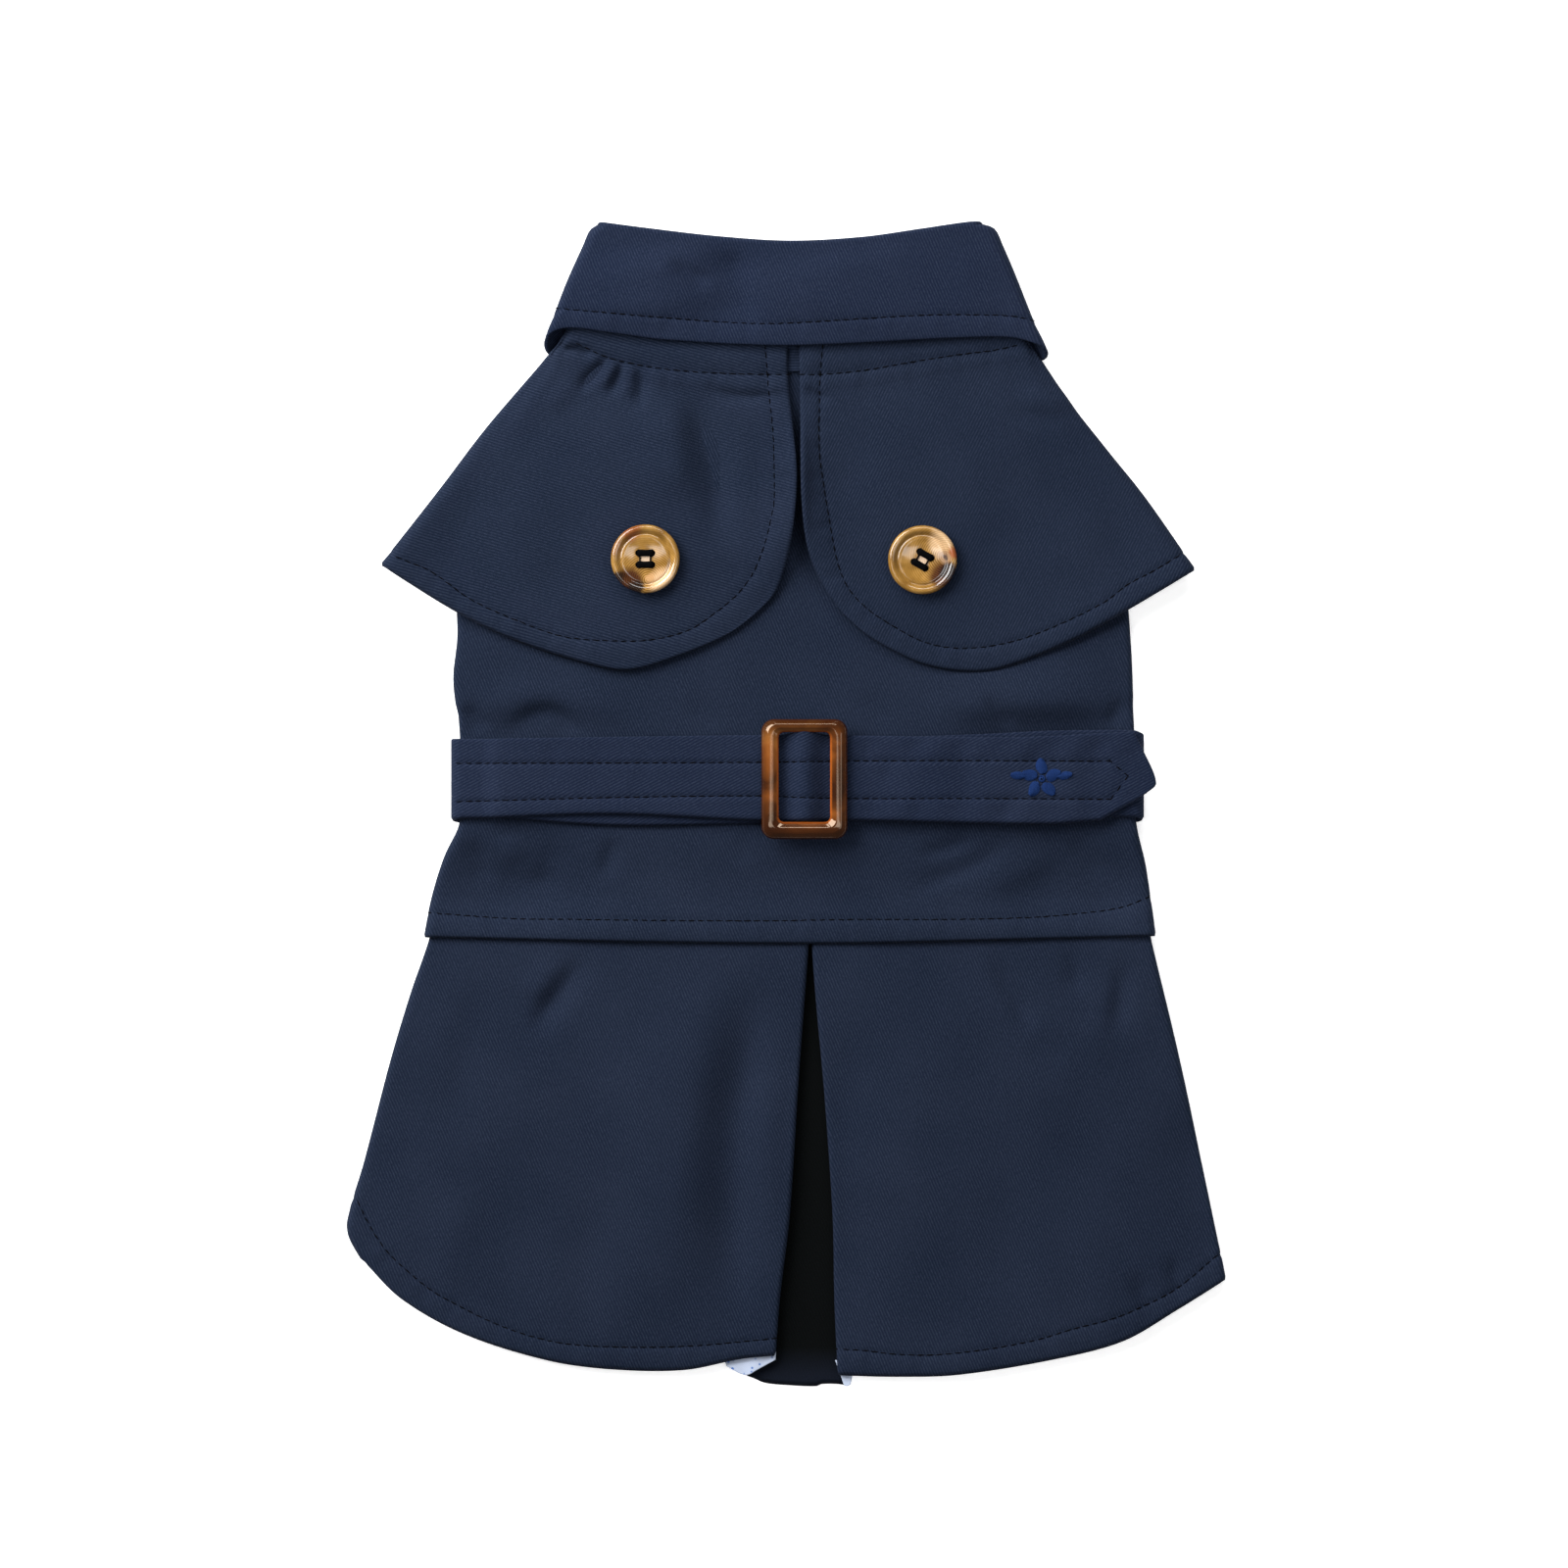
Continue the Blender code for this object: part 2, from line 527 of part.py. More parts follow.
def build_belt(home):
    """Two strips: the pointed end over the back, and the sewn end, which starts under the slide and goes on
    round the right side. They meet under the belly."""
    radius = (BELT_LAYER - FLOOR_DOUBLE) / 2

    def run_under(x):
        return [(x, mix(BELT_UP_EDGE, BELT_DOWN_EDGE, t), FLOOR_DOUBLE) for t in even(BELT_ACROSS)]

    def upper_height(x):
        start = BELT["top"][0].x
        laid = mix(BELT_LAYER, BELT_TOP, smooth((x - start - 1.0) / (UNDER_START - start - 2.0)))
        off = min(1.0, abs(x - SLIDE["x"]) / HUMP_HALF)
        return laid + HUMP_RISE * math.cos(math.pi / 2 * off) ** 2

    first, last = BELT["top"][0], BELT["bottom"][0]
    near = [UNDER_START - 2.0 - k for k in (6.0, 4.5, 3.0, 1.5, 0.0)]
    hump = [SLIDE["x"] + HUMP_HALF * k / 4 for k in range(-4, 5)]
    stations = [first.x, *near, -62.0, -40.0, -18.0, *hump, 24.0, 42.0, 60.0, 78.0, BELT["top"][-1].x]
    rows = [run_under(BELT_JOIN - GAP / 2)]
    rows += belt_fold(BELT_SIDE_LEFT + DOUBLE / 2 + radius, first.y, last.y, radius, -1)[::-1]
    for x in stations:
        up, down = (along(BELT[edge], share_at(BELT[edge], x, 0)).y for edge in ("top", "bottom"))
        rows.append([(x, mix(up, down, t), upper_height(x)) for t in even(BELT_ACROSS)])
    straight = rows[-1]
    for share in (0.5, 1.0):
        tip = [along(BELT["tip"], t) for t in (0.0, BELT_POINT, 1.0)]
        rows.append([(mix(a[0], b.x, share), mix(a[1], b.y, share), a[2]) for a, b in zip(straight, tip)])
    wall("belt_upper", rows, "navy_twill", DOUBLE, home)

    rows = []
    for u in even(8):
        up, down = along(UNDER_EDGE["top"], u), along(UNDER_EDGE["bottom"], u)
        rows.append([(mix(up.x, down.x, t), mix(up.y, down.y, t), BELT_LAYER) for t in even(BELT_ACROSS)])
    rows += belt_fold(BELT_SIDE_RIGHT - DOUBLE / 2 - radius, up.y, down.y, radius, 1)
    rows.append(run_under(BELT_JOIN + GAP / 2))
    wall("belt_under", rows, "navy_twill", DOUBLE, home)


def rounded_outline(curve, width, length, corner, steps=4):
    """A closed spline round a rectangle with round corners."""
    points = []
    for quarter in range(4):
        start = quarter * math.pi / 2
        cx = (width / 2 - corner) * (1 if quarter in (0, 3) else -1)
        cy = (length / 2 - corner) * (1 if quarter in (0, 1) else -1)
        for k in range(steps + 1):
            angle = start + math.pi / 2 * k / steps
            points.append((cx + corner * math.cos(angle), cy + corner * math.sin(angle)))
    spline = curve.splines.new("POLY")
    spline.points.add(len(points) - 1)
    for point, (x, y) in zip(spline.points, points):
        point.co = (x * MM, y * MM, 0, 1)
    spline.use_cyclic_u = True


def as_mesh(obj, home):
    """The curve object made a mesh with its caps welded."""
    graph = bpy.context.evaluated_depsgraph_get()
    mesh = bpy.data.meshes.new_from_object(obj.evaluated_get(graph))
    shape = bmesh.new()
    shape.from_mesh(mesh)
    bmesh.ops.remove_doubles(shape, verts=shape.verts, dist=0.00001)
    bmesh.ops.recalc_face_normals(shape, faces=shape.faces)
    shape.to_mesh(mesh)
    shape.free()
    name, matrix = obj.name, obj.matrix_world.copy()
    bpy.data.objects.remove(obj)
    made = bpy.data.objects.new(name, mesh)
    made.matrix_world = matrix
    home.objects.link(made)
    return made


def build_slide(home, cutters):
    s = SLIDE
    curve = bpy.data.curves.new("belt_slide", "CURVE")
    curve.dimensions = "2D"
    curve.fill_mode = "BOTH"
    curve.extrude = (s["thick"] / 2 - s["round"]) * MM
    curve.bevel_depth = s["round"] * MM
    curve.bevel_resolution = 2
    curve.offset = -s["round"] * MM
    rounded_outline(curve, s["width"], s["length"], s["corner"])
    window = (s["width"] - 2 * s["side_bar"], s["length"] - 2 * s["end_bar"])
    rounded_outline(curve, *window, s["inner_corner"])
    slide = bpy.data.objects.new("belt_slide", curve)
    middle = BELT_TOP + DOUBLE / 2 + GAP + SLIDE_EASE + s["thick"] / 2
    slide.location = (s["x"] * MM, s["y"] * MM, middle * MM)
    home.objects.link(slide)
    bpy.context.view_layer.update()
    slide = as_mesh(slide, home)
    slide.data.materials.clear()
    slide.data.materials.append(material("tortoise_resin"))
    slide.data.shade_smooth()
    mesh = bpy.data.meshes.new("centre_bar")
    shape = bmesh.new()
    bmesh.ops.create_cone(shape, cap_ends=True, segments=12, radius1=CENTRE_BAR_RADIUS * MM,
                          radius2=CENTRE_BAR_RADIUS * MM, depth=(s["length"] - s["end_bar"]) * MM)
    shape.to_mesh(mesh)
    shape.free()
    bar = bpy.data.objects.new("centre_bar", mesh)
    bar.rotation_euler = (math.pi / 2, 0, 0)
    bar_height = BELT_LAYER + DOUBLE / 2 + CENTRE_BAR_LIFT + CENTRE_BAR_RADIUS
    bar.location = (s["x"] * MM, s["y"] * MM, bar_height * MM)
    bar.hide_render = True
    bar.display_type = "WIRE"
    cutters.objects.link(bar)
    join = slide.modifiers.new("centre bar", "BOOLEAN")
    join.object = bar
    join.operation = "UNION"


def build_buttons(home, cutters):
    """A turned button with a rim, a ring groove and a dished middle with four holes."""
    for name, (x, y, turn) in BUTTONS.items():
        bottom = (cape_height(x, y) + DOUBLE / 2 + GAP) * MM
        mesh = bpy.data.meshes.new(name)
        profile = [(p.x * MM, 0, p.y * MM) for p in BUTTON_PROFILE]
        mesh.from_pydata(profile, [(k, k + 1) for k in range(len(profile) - 1)], [])
        mesh.materials.append(material("horn_resin"))
        button = bpy.data.objects.new(name, mesh)
        button.location = (x * MM, y * MM, bottom)
        home.objects.link(button)
        screw = button.modifiers.new("turned", "SCREW")
        screw.steps = screw.render_steps = 24
        screw.use_merge_vertices = True
        screw.merge_threshold = 0.00001
        screw.use_smooth_shade = True
        for k in range(4):
            angle = math.radians(turn + 45 + 90 * k)
            reach = BUTTON_HOLE_SPACING / math.sqrt(2)
            hole_mesh = bpy.data.meshes.new("button_hole")
            shape = bmesh.new()
            bmesh.ops.create_cone(shape, cap_ends=True, segments=8, radius1=BUTTON_HOLE_RADIUS * MM,
                                  radius2=BUTTON_HOLE_RADIUS * MM, depth=BUTTON_HOLE_DEPTH * MM)
            shape.to_mesh(hole_mesh)
            shape.free()
            hole = bpy.data.objects.new(f"{name}_hole_{k}", hole_mesh)
            hole.location = (
                (x + reach * math.cos(angle)) * MM,
                (y + reach * math.sin(angle)) * MM,
                bottom,
            )
            hole.hide_render = True
            hole.display_type = "WIRE"
            cutters.objects.link(hole)
            drill = button.modifiers.new(f"hole {k}", "BOOLEAN")
            drill.object = hole
            drill.operation = "DIFFERENCE"


def build_skirt(home):
    def high(x, y, u, v):
        crown = SKIRT_CROWN * math.sin(math.pi * min(1, max(0, u)))
        return SKIRT + (crown - crease_depth(SKIRT_CREASES, x, y)) * smooth(v * 5)

    def side_turn(v):
        low = mix(SKIRT_TURN, FLOOR, smooth((v - 0.07) / 0.1))
        return Turn(SKIRT_SIDE_TURN, low + HEM_LIFT * smooth((v - 0.85) * 8))

    def pleat_turn(v):
        return Turn(PLEAT_TURN, SKIRT_TURN)

    levels = [0.0, 0.04, 0.07, 0.12, 0.17, *(k / 11 for k in range(3, 12))]
    edges = (SKIRT_L["waist"], SKIRT_L["hem"], SKIRT_L["side"], SKIRT_L["pleat"])
    rows = panel_rows(edges, 12, levels, high, CLOTH, side_turn, pleat_turn, drop=(0.0, PLEAT_DROP[0]))
    wall("skirt_left", rows, "navy_twill", CLOTH, home)
    edges = (SKIRT_R["waist"], SKIRT_R["hem"], SKIRT_R["pleat"], SKIRT_R["side"])
    rows = panel_rows(edges, 12, levels, high, CLOTH, pleat_turn, side_turn, drop=(PLEAT_DROP[1], 0.0))
    wall("skirt_right", rows, "navy_twill", CLOTH, home)
    edges = (UNDERLAY["top"], UNDERLAY["hem"], UNDERLAY["left"], UNDERLAY["right"])
    rows = panel_rows(edges, 4, even(2), lambda x, y, u, v: FLOOR, CLOTH)
    wall("pleat_underlay", rows, "navy_twill", CLOTH, home)
    for name, facing in (("facing_left", FACING_L), ("facing_right", FACING_R)):
        top, bottom = facing["top"], facing["bottom"]
        edges = (top, bottom, [top[0], bottom[0]], [top[-1], bottom[-1]])
        rows = panel_rows(edges, 4, even(1), lambda x, y, u, v: FACING, CLOTH)
        wall(name, rows, "printed_cotton", CLOTH, home)


clear_scene()
dress = collection("dog_dress")
helpers = collection("cutters")
build_body(dress)
build_belly(dress, helpers)
build_cape(dress)
build_collar(dress)
build_belt(dress)
build_slide(dress, helpers)
build_buttons(dress, helpers)
build_skirt(dress)
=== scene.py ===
"""Trench-style dog dress in navy cotton twill, laid flat on its belly with its back up, on a pale floor.

Tables are in millimetres, in the CAD's frame: +Y points to the neck, +X to the right seen from above, +Z up.
Heights of cloth are to the middle of its thickness.
"""

import math

import bmesh
import bpy
import numpy as np
from mathutils import Matrix, Vector
from mathutils.bvhtree import BVHTree


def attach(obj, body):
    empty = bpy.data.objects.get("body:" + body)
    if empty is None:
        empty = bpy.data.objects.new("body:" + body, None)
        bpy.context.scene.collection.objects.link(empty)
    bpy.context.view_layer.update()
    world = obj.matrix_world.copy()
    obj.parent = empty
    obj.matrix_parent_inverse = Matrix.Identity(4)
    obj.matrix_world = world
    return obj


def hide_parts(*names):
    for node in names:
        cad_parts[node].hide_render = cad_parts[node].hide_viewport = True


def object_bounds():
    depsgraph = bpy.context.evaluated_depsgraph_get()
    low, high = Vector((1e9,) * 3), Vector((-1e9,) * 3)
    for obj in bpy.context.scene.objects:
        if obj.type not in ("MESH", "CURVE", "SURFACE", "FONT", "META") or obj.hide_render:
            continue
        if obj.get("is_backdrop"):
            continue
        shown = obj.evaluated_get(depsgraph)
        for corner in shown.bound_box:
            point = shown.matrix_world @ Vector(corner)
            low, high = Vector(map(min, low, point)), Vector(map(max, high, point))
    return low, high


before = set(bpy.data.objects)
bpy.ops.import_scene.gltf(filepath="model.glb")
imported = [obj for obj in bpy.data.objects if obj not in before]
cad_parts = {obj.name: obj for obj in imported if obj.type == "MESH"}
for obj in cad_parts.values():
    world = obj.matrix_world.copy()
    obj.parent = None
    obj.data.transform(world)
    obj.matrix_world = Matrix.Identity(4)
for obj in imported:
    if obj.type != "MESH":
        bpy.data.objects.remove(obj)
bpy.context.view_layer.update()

MM = 0.001

# ------------------------------------------------------------------------------------------- bodice back
# The back of the body, one piece of single navy twill. Its sides wrap round the dress and go back underneath,
# where they are sewn to the belly panel. At the waist it laps over the skirt and is topstitched down.

CLOTH = 0.7  # twill with its seam allowances pressed flat
FLOOR = CLOTH / 2
BODY_LEFT = [(-66.4, 126.6), (-76.4, 111.3), (-90.6, 85.6), (-95.8, 62.8), (-95.8, 48.3), (-97.0, 36.0),
             (-95.2, 20.5), (-94.9, 8.0), (-95.2, -5.5), (-99.7, -15.2), (-103.4, -27.0), (-105.6, -38.8)]
BODY_RIGHT = [(69.6, 126.2), (78.5, 111.3), (92.5, 85.6), (98.4, 62.8), (100.0, 45.5), (100.6, 30.0),
              (101.0, 18.0), (101.2, 4.0), (101.6, -6.0), (104.4, -18.0), (107.3, -38.4)]
BODY_NECK = [(-66.4, 126.6), (-57.6, 128.4), (-47.6, 129.4), (-34.2, 128.2), (0.9, 126.8), (35.1, 130.0),
             (47.3, 131.0), (60.0, 128.6), (69.6, 126.2)]
WAIST = [(-105.6, -38.8), (-61.3, -39.9), (-13.1, -40.6), (19.7, -40.6), (71.8, -39.4), (107.3, -38.4)]
WAIST_STITCH = [(-103.6, -31.6), (-79.5, -33.3), (-61.3, -33.5), (-37.0, -33.8), (-5.1, -33.9), (19.7, -33.5),
                (45.9, -33.5), (71.8, -32.9), (89.5, -31.3), (98.0, -29.8), (104.6, -27.2)]
BODY_LEVEL = 3.45
BODY_LAP = 1.45  # the body's lower edge lies this much higher, on the skirt
BODY_CROWN = 0.6
BODY_TURN = 12.0
BELT_EDGES = (19.0, -5.6)
BELT_LIFT = 1.5  # the belt goes on under the body and lifts it this much
BODY_CREASES = [  # points, height, and the width left and right of the line
    ([(-95.0, 29.0), (-91.0, 25.0), (-88.4, 19.6)], -1.3, 3.2, 3.6),
    ([(-81.0, 18.0), (-76.4, 25.0), (-68.0, 27.0), (-62.0, 22.4), (-58.0, 16.5)], -1.3, 2.2, 3.8),
    ([(-101.0, 19.5), (-84.0, 19.4), (-68.0, 19.0), (-52.0, 18.4)], -1.6, 6.4, 4.0),
    ([(-98.0, 47.0), (-80.0, 45.0), (-62.0, 43.0)], 0.7, 9.0, 14.0),
    ([(62.0, 43.0), (82.0, 45.0), (101.0, 47.0)], 0.9, 9.0, 14.0),
    ([(98.6, 31.5), (95.8, 27.0), (93.0, 21.8)], -0.9, 2.6, 2.2),
    ([(44.0, 19.0), (62.0, 19.2), (76.0, 19.8), (92.0, 19.6), (104.0, 19.2)], -2.0, 6.2, 4.0),
    ([(57.5, 33.0), (61.0, 27.0), (67.0, 21.8)], -0.9, 3.0, 2.2),
    ([(20.0, 33.0), (27.0, 27.0), (31.0, 21.0)], -0.35, 4.0, 3.0),
    ([(-30.0, 30.0), (-24.0, 25.0), (-21.0, 20.0)], -0.35, 4.0, 3.0),
    ([(-97.0, 28.4), (-84.0, 29.4), (-70.0, 32.0), (-54.0, 28.0), (-40.0, 27.0)], 1.2, 6.0, 4.8),
    ([(38.0, 28.4), (62.0, 29.4), (80.0, 30.2), (103.0, 29.4)], 1.7, 8.0, 4.8),
    ([(-93.0, -9.0), (-89.5, -15.0), (-86.4, -25.0)], -0.8, 3.0, 4.6),
    ([(-81.0, -8.0), (-79.0, -18.0)], 0.5, 4.0, 4.0),
    ([(-88.0, -20.0), (-76.0, -23.0), (-62.0, -22.0)], -0.7, 3.6, 7.0),
    ([(-107.0, -27.0), (-88.0, -27.4), (-66.0, -26.4), (-48.0, -24.0)], -1.7, 15.0, 9.0),
    ([(60.0, -24.0), (82.0, -26.4), (108.0, -27.0)], -2.1, 15.0, 9.0),
    ([(-50.4, -8.5), (-51.6, -15.0), (-54.0, -23.0)], -0.9, 3.0, 2.4),
    ([(69.0, -8.0), (60.0, -14.5), (51.0, -19.4), (43.0, -22.4), (33.0, -27.4)], -1.1, 2.4, 4.4),
    ([(80.0, -13.0), (66.0, -20.8), (50.0, -26.6)], 0.6, 3.4, 4.4),
    ([(82.0, -6.9), (86.4, -14.0), (93.6, -23.0)], -0.8, 3.0, 4.0),
    ([(56.0, -8.0), (48.0, -12.4), (36.0, -15.4)], -1.1, 2.4, 2.8),
    ([(-14.0, -8.0), (-12.0, -18.0)], -0.35, 4.5, 3.0),
    ([(16.0, -8.0), (21.0, -16.0), (22.0, -24.0)], -0.35, 3.0, 4.0),
    ([(-66.0, -9.0), (-70.0, -19.0), (-71.0, -27.0)], -0.45, 4.0, 3.0),
]
# The hollow below the flaps' gap: its deepest line runs on under the right flap's edge
BODY_DIP = [
    ([(0.6, 128.0), (2.4, 106.0), (4.6, 90.0), (7.2, 74.0), (10.6, 61.0), (14.5, 50.0)], -2.6, 6.0, 6.2),
]
STITCH_PITCH = 2.7
GROOVE = 0.75  # half the width of the groove that a row of stitches draws in


def smooth(t):
    """0 below 0, 1 above 1 and an even bend in between."""
    t = np.clip(t, 0.0, 1.0)
    return t * t * (3.0 - 2.0 * t)


def mix(a, b, t):
    """The share t of the way from a to b."""
    return a + (b - a) * t


def along(points, t):
    """The points at shares t of the length of a smooth curve through the points."""
    points = np.asarray(points, float)
    count = len(points)
    knots = np.concatenate([[0.0], np.cumsum(np.hypot(*np.diff(points, axis=0).T[:2]))])
    before = np.maximum(np.arange(count) - 1, 0)
    after = np.minimum(np.arange(count) + 1, count - 1)
    slope = (points[after] - points[before]) / (knots[after] - knots[before])[:, None]
    at = np.clip(np.asarray(t, float), 0.0, 1.0) * knots[-1]
    i = np.clip(np.searchsorted(knots, at, side="right") - 1, 0, count - 2)
    span = (knots[i + 1] - knots[i])[..., None]
    s = (at - knots[i])[..., None] / span
    return (
        (2 * s**3 - 3 * s**2 + 1) * points[i]
        + (s**3 - 2 * s**2 + s) * span * slope[i]
        + (3 * s**2 - 2 * s**3) * points[i + 1]
        + (s**3 - s**2) * span * slope[i + 1]
    )


def fill(edges, u, v):
    """The points of the surface stretched between its top, bottom, left and right edge curves."""
    top, bottom, left, right = edges
    u, v = np.broadcast_arrays(np.asarray(u, float), np.asarray(v, float))
    a, b, c, d = (np.asarray(edge[k], float) for edge in (top, bottom) for k in (0, -1))
    u2, v2 = u[..., None], v[..., None]
    ruled = mix(along(top, u), along(bottom, u), v2) + mix(along(left, v), along(right, v), u2)
    return ruled - mix(mix(a, b, u2), mix(c, d, u2), v2)


def crossing(edge, y):
    """Where an edge curve that runs down the dress passes each y."""
    run = along(edge, np.linspace(0.0, 1.0, 240))[::-1]
    return np.interp(y, run[:, 1], run[:, 0])


def stations(length, step, *bands):
    """Shares of a length, a step apart, and closer inside the bands, each (from, to, step)."""
    at = [0.0]
    while at[-1] < length:
        at.append(at[-1] + min((fine for low, high, fine in bands if low <= at[-1] < high), default=step))
    return np.array(at) / at[-1]


def beside(points, x, y):
    """Each place's distance from a smooth line, left of it positive, how far along it is, and its length."""
    line = along(points, np.linspace(0.0, 1.0, 6 * len(points)))
    nearest = np.full(np.shape(x), 1e9)
    off, run, start = np.zeros(np.shape(x)), np.zeros(np.shape(x)), 0.0
    for a, b in zip(line, line[1:]):
        dx, dy = b - a
        length = math.hypot(dx, dy)
        share = np.clip(((x - a[0]) * dx + (y - a[1]) * dy) / length**2, 0.0, 1.0)
        px, py = x - a[0] - share * dx, y - a[1] - share * dy
        distance = np.hypot(px, py)
        closer = distance < nearest
        off = np.where(closer, distance * np.sign(dx * py - dy * px), off)
        run = np.where(closer, start + share * length, run)
        nearest = np.minimum(nearest, distance)
        start += length
    return off, run, start


def relief(x, y, creases):
    """The height that creases add, soft across and fading at both ends. Below 0 a crease is a trough."""
    x, y = np.broadcast_arrays(np.asarray(x, float), np.asarray(y, float))
    total = np.zeros(x.shape)
    for points, rise, left, right in creases:
        low, high = np.min(points, axis=0), np.max(points, axis=0)
        reach = 2.6 * max(left, right)
        near = (x > low[0] - reach) & (x < high[0] + reach) & (y > low[1] - reach) & (y < high[1] + reach)
        if not near.any():
            continue
        off, run, length = beside(points, x[near], y[near])
        share = run / length
        ends = smooth(share * 2.6) * smooth((1 - share) * 2.6)
        total[near] += rise * np.exp(-((off / np.where(off > 0, left, right)) ** 2)) * ends
    return total


def sewn(x, y, line, outside, band=6.5):
    """The height that a row of topstitching gives: a groove, puckers, and a puffed band out to the edge.
    outside is 1 where the edge is on the line's left, or -1."""
    off, run, _ = beside(line, x, y)
    off = off * outside
    turn = 2 * math.pi * run
    groove = -0.28 * np.exp(-((off / GROOVE) ** 2)) * (0.85 + 0.15 * np.cos(turn / STITCH_PITCH))
    ripple = np.sin(turn / 7.3 + 1.3) + 0.8 * np.sin(turn / 11.9 + 0.4) + 0.5 * np.sin(turn / 4.7)
    puckers = 0.09 * ripple * np.exp(-(((off - 1.6) / 3.4) ** 2))
    return groove + puckers + 0.2 * np.sin(math.pi * np.clip(off / band, 0.0, 1.0))


def drift(x, y, phase, amount):
    """Wide, shallow unevenness, as in cloth that has been worn and smoothed out by hand."""
    waves = (
        np.sin(x / 11.3 + y / 17.9 + phase) + np.sin(x / 19.7 - y / 12.1 + 2.1 * phase)
        + np.sin(y / 8.7 + x / 31.0 + 3.7 * phase) + 0.6 * np.sin(x / 6.1 - y / 7.9 + 5.3 * phase)
    )
    return amount * waves


def panel(edges, across, down, height, thick, left=None, right=None, drop=(0.0, 0.0), arc=9):
    """A grid of points through the middle of a panel's cloth, and each point's place on the flat cut.
    height(x, y, u, v) is that of the upper cloth. left and right are functions of v, for cloth that turns
    under there: how far it runs back and at what height. drop is how much lower its lower edge then hangs."""
    down = np.asarray(down, float)[:, None]
    ends = fill(edges, np.array([[0.0, 1.0]]), down)
    width = (ends[:, 1, 0] - ends[:, 0, 0])[:, None]
    bounds, turns = [np.zeros_like(down), np.ones_like(down)], []
    for side, turn in enumerate((left, right)):
        turns.append(turn and [np.broadcast_to(value, down.shape) for value in turn(down)])
        if turn:
            edge = height(ends[:, side, :1], ends[:, side, 1:], float(side), down)
            inset = (thick / 2 + (edge - turns[side][1]) / 2) / width
            bounds[side] = bounds[side] + (-inset if side else inset)
    u = mix(bounds[0], bounds[1], np.asarray(across)[None, :])
    flat = fill(edges, u, down)
    grid = np.dstack([flat, height(flat[..., 0], flat[..., 1], u, down)])
    for side, turn in enumerate(turns):
        if not turn:
            continue
        back, low = turn
        sign = 1 if side else -1
        start = grid[:, -1:] if side else grid[:, :1]
        radius = (start[..., 2] - low) / 2
        angle = np.linspace(0.0, math.pi, arc + 1)[None, 1:]
        beyond = np.linspace(0.0, 1.0, int(back.max() / 2.2) + 3)[1:-1]
        beyond = np.concatenate([beyond, 1.0 - np.array([0.35, 0.12, 0.0]) / back.max()])[None, :]
        x = np.hstack([start[..., 0] + sign * radius * np.sin(angle), start[..., 0] - sign * back * beyond])
        z = np.hstack([low + radius * (1 + np.cos(angle)), low + 0 * beyond])
        run = np.hstack([radius * angle, radius * math.pi + back * beyond])
        hang = drop[side] * down * np.hstack([smooth(angle / math.pi), 1 + 0 * beyond])
        y = fill(edges, (x - ends[:, 0, :1]) / width, down)[..., 1] - hang
        under = np.dstack([x, y, z])
        under_flat = np.dstack([start[..., 0] + sign * run, y])
        if side:
            grid, flat = np.hstack([grid, under]), np.hstack([flat, under_flat])
        else:
            grid, flat = np.hstack([under[:, ::-1], grid]), np.hstack([under_flat[:, ::-1], flat])
    return grid, flat


def put(name, data):
    """An object of a mesh, light or camera, in the scene."""
    made = bpy.data.objects.new(name, data)
    bpy.context.scene.collection.objects.link(made)
    return made


def surface(name, points, faces, material, cut=None):
    """A smooth piece of points in millimetres. cut gives each point's place on the flat cut, as a UV map."""
    mesh = bpy.data.meshes.new(name)
    mesh.from_pydata((points * MM).tolist(), [], faces.tolist())
    if cut is not None:
        mesh.uv_layers.new(name="cut").data.foreach_set("uv", cut[faces.ravel()].ravel())
    mesh.materials.append(material)
    mesh.shade_smooth()
    return put(name, mesh)


def shell(name, grid, flat, thick, grain, material):
    """A closed cloth shell on a grid, its edges rounded. Its UV map is the flat cut in millimetres, turned so
    that the twill's ribs, which run at grain degrees, stand along V."""
    normal = np.cross(np.gradient(grid, axis=1), -np.gradient(grid, axis=0))
    normal /= np.linalg.norm(normal, axis=2, keepdims=True)
    nearest = np.full(grid.shape[:2], 1e9)
    for axis in (0, 1):
        steps = np.linalg.norm(np.diff(grid, axis=axis), axis=2)
        reach = np.cumsum(np.insert(steps, 0, 0.0, axis=axis), axis=axis)
        whole = reach[-1:] if axis == 0 else reach[:, -1:]
        nearest = np.minimum(nearest, np.minimum(reach, whole - reach))
    half = thick / 2 * np.sqrt(1 - (1 - np.clip(nearest / (thick / 2), 0.0, 1.0)) ** 2)[..., None]
    rows, columns = grid.shape[:2]
    upper = np.arange(rows * columns).reshape(rows, columns)
    lower = upper.copy()
    lower[1:-1, 1:-1] = rows * columns + np.arange((rows - 2) * (columns - 2)).reshape(rows - 2, columns - 2)
    points = np.vstack([(grid + normal * half).reshape(-1, 3),
                        (grid - normal * half)[1:-1, 1:-1].reshape(-1, 3)])
    cut = np.vstack([flat.reshape(-1, 2), flat[1:-1, 1:-1].reshape(-1, 2)])
    top, bottom = (
        np.dstack([i[:-1, :-1], i[1:, :-1], i[1:, 1:], i[:-1, 1:]]).reshape(-1, 4) for i in (upper, lower)
    )
    faces = np.vstack([top, bottom[:, ::-1]])
    angle = math.radians(grain)
    turned = np.column_stack([
        cut[:, 1] * math.cos(angle) - cut[:, 0] * math.sin(angle),
        cut[:, 0] * math.cos(angle) + cut[:, 1] * math.sin(angle),
    ])
    return surface(name, points, faces, material, turned)


def linear(code):
    """A hex sRGB colour as linear values."""
    shares = [int(code[k:k + 2], 16) / 255 for k in (1, 3, 5)]
    return (*(c / 12.92 if c <= 0.04045 else ((c + 0.055) / 1.055) ** 2.4 for c in shares), 1.0)


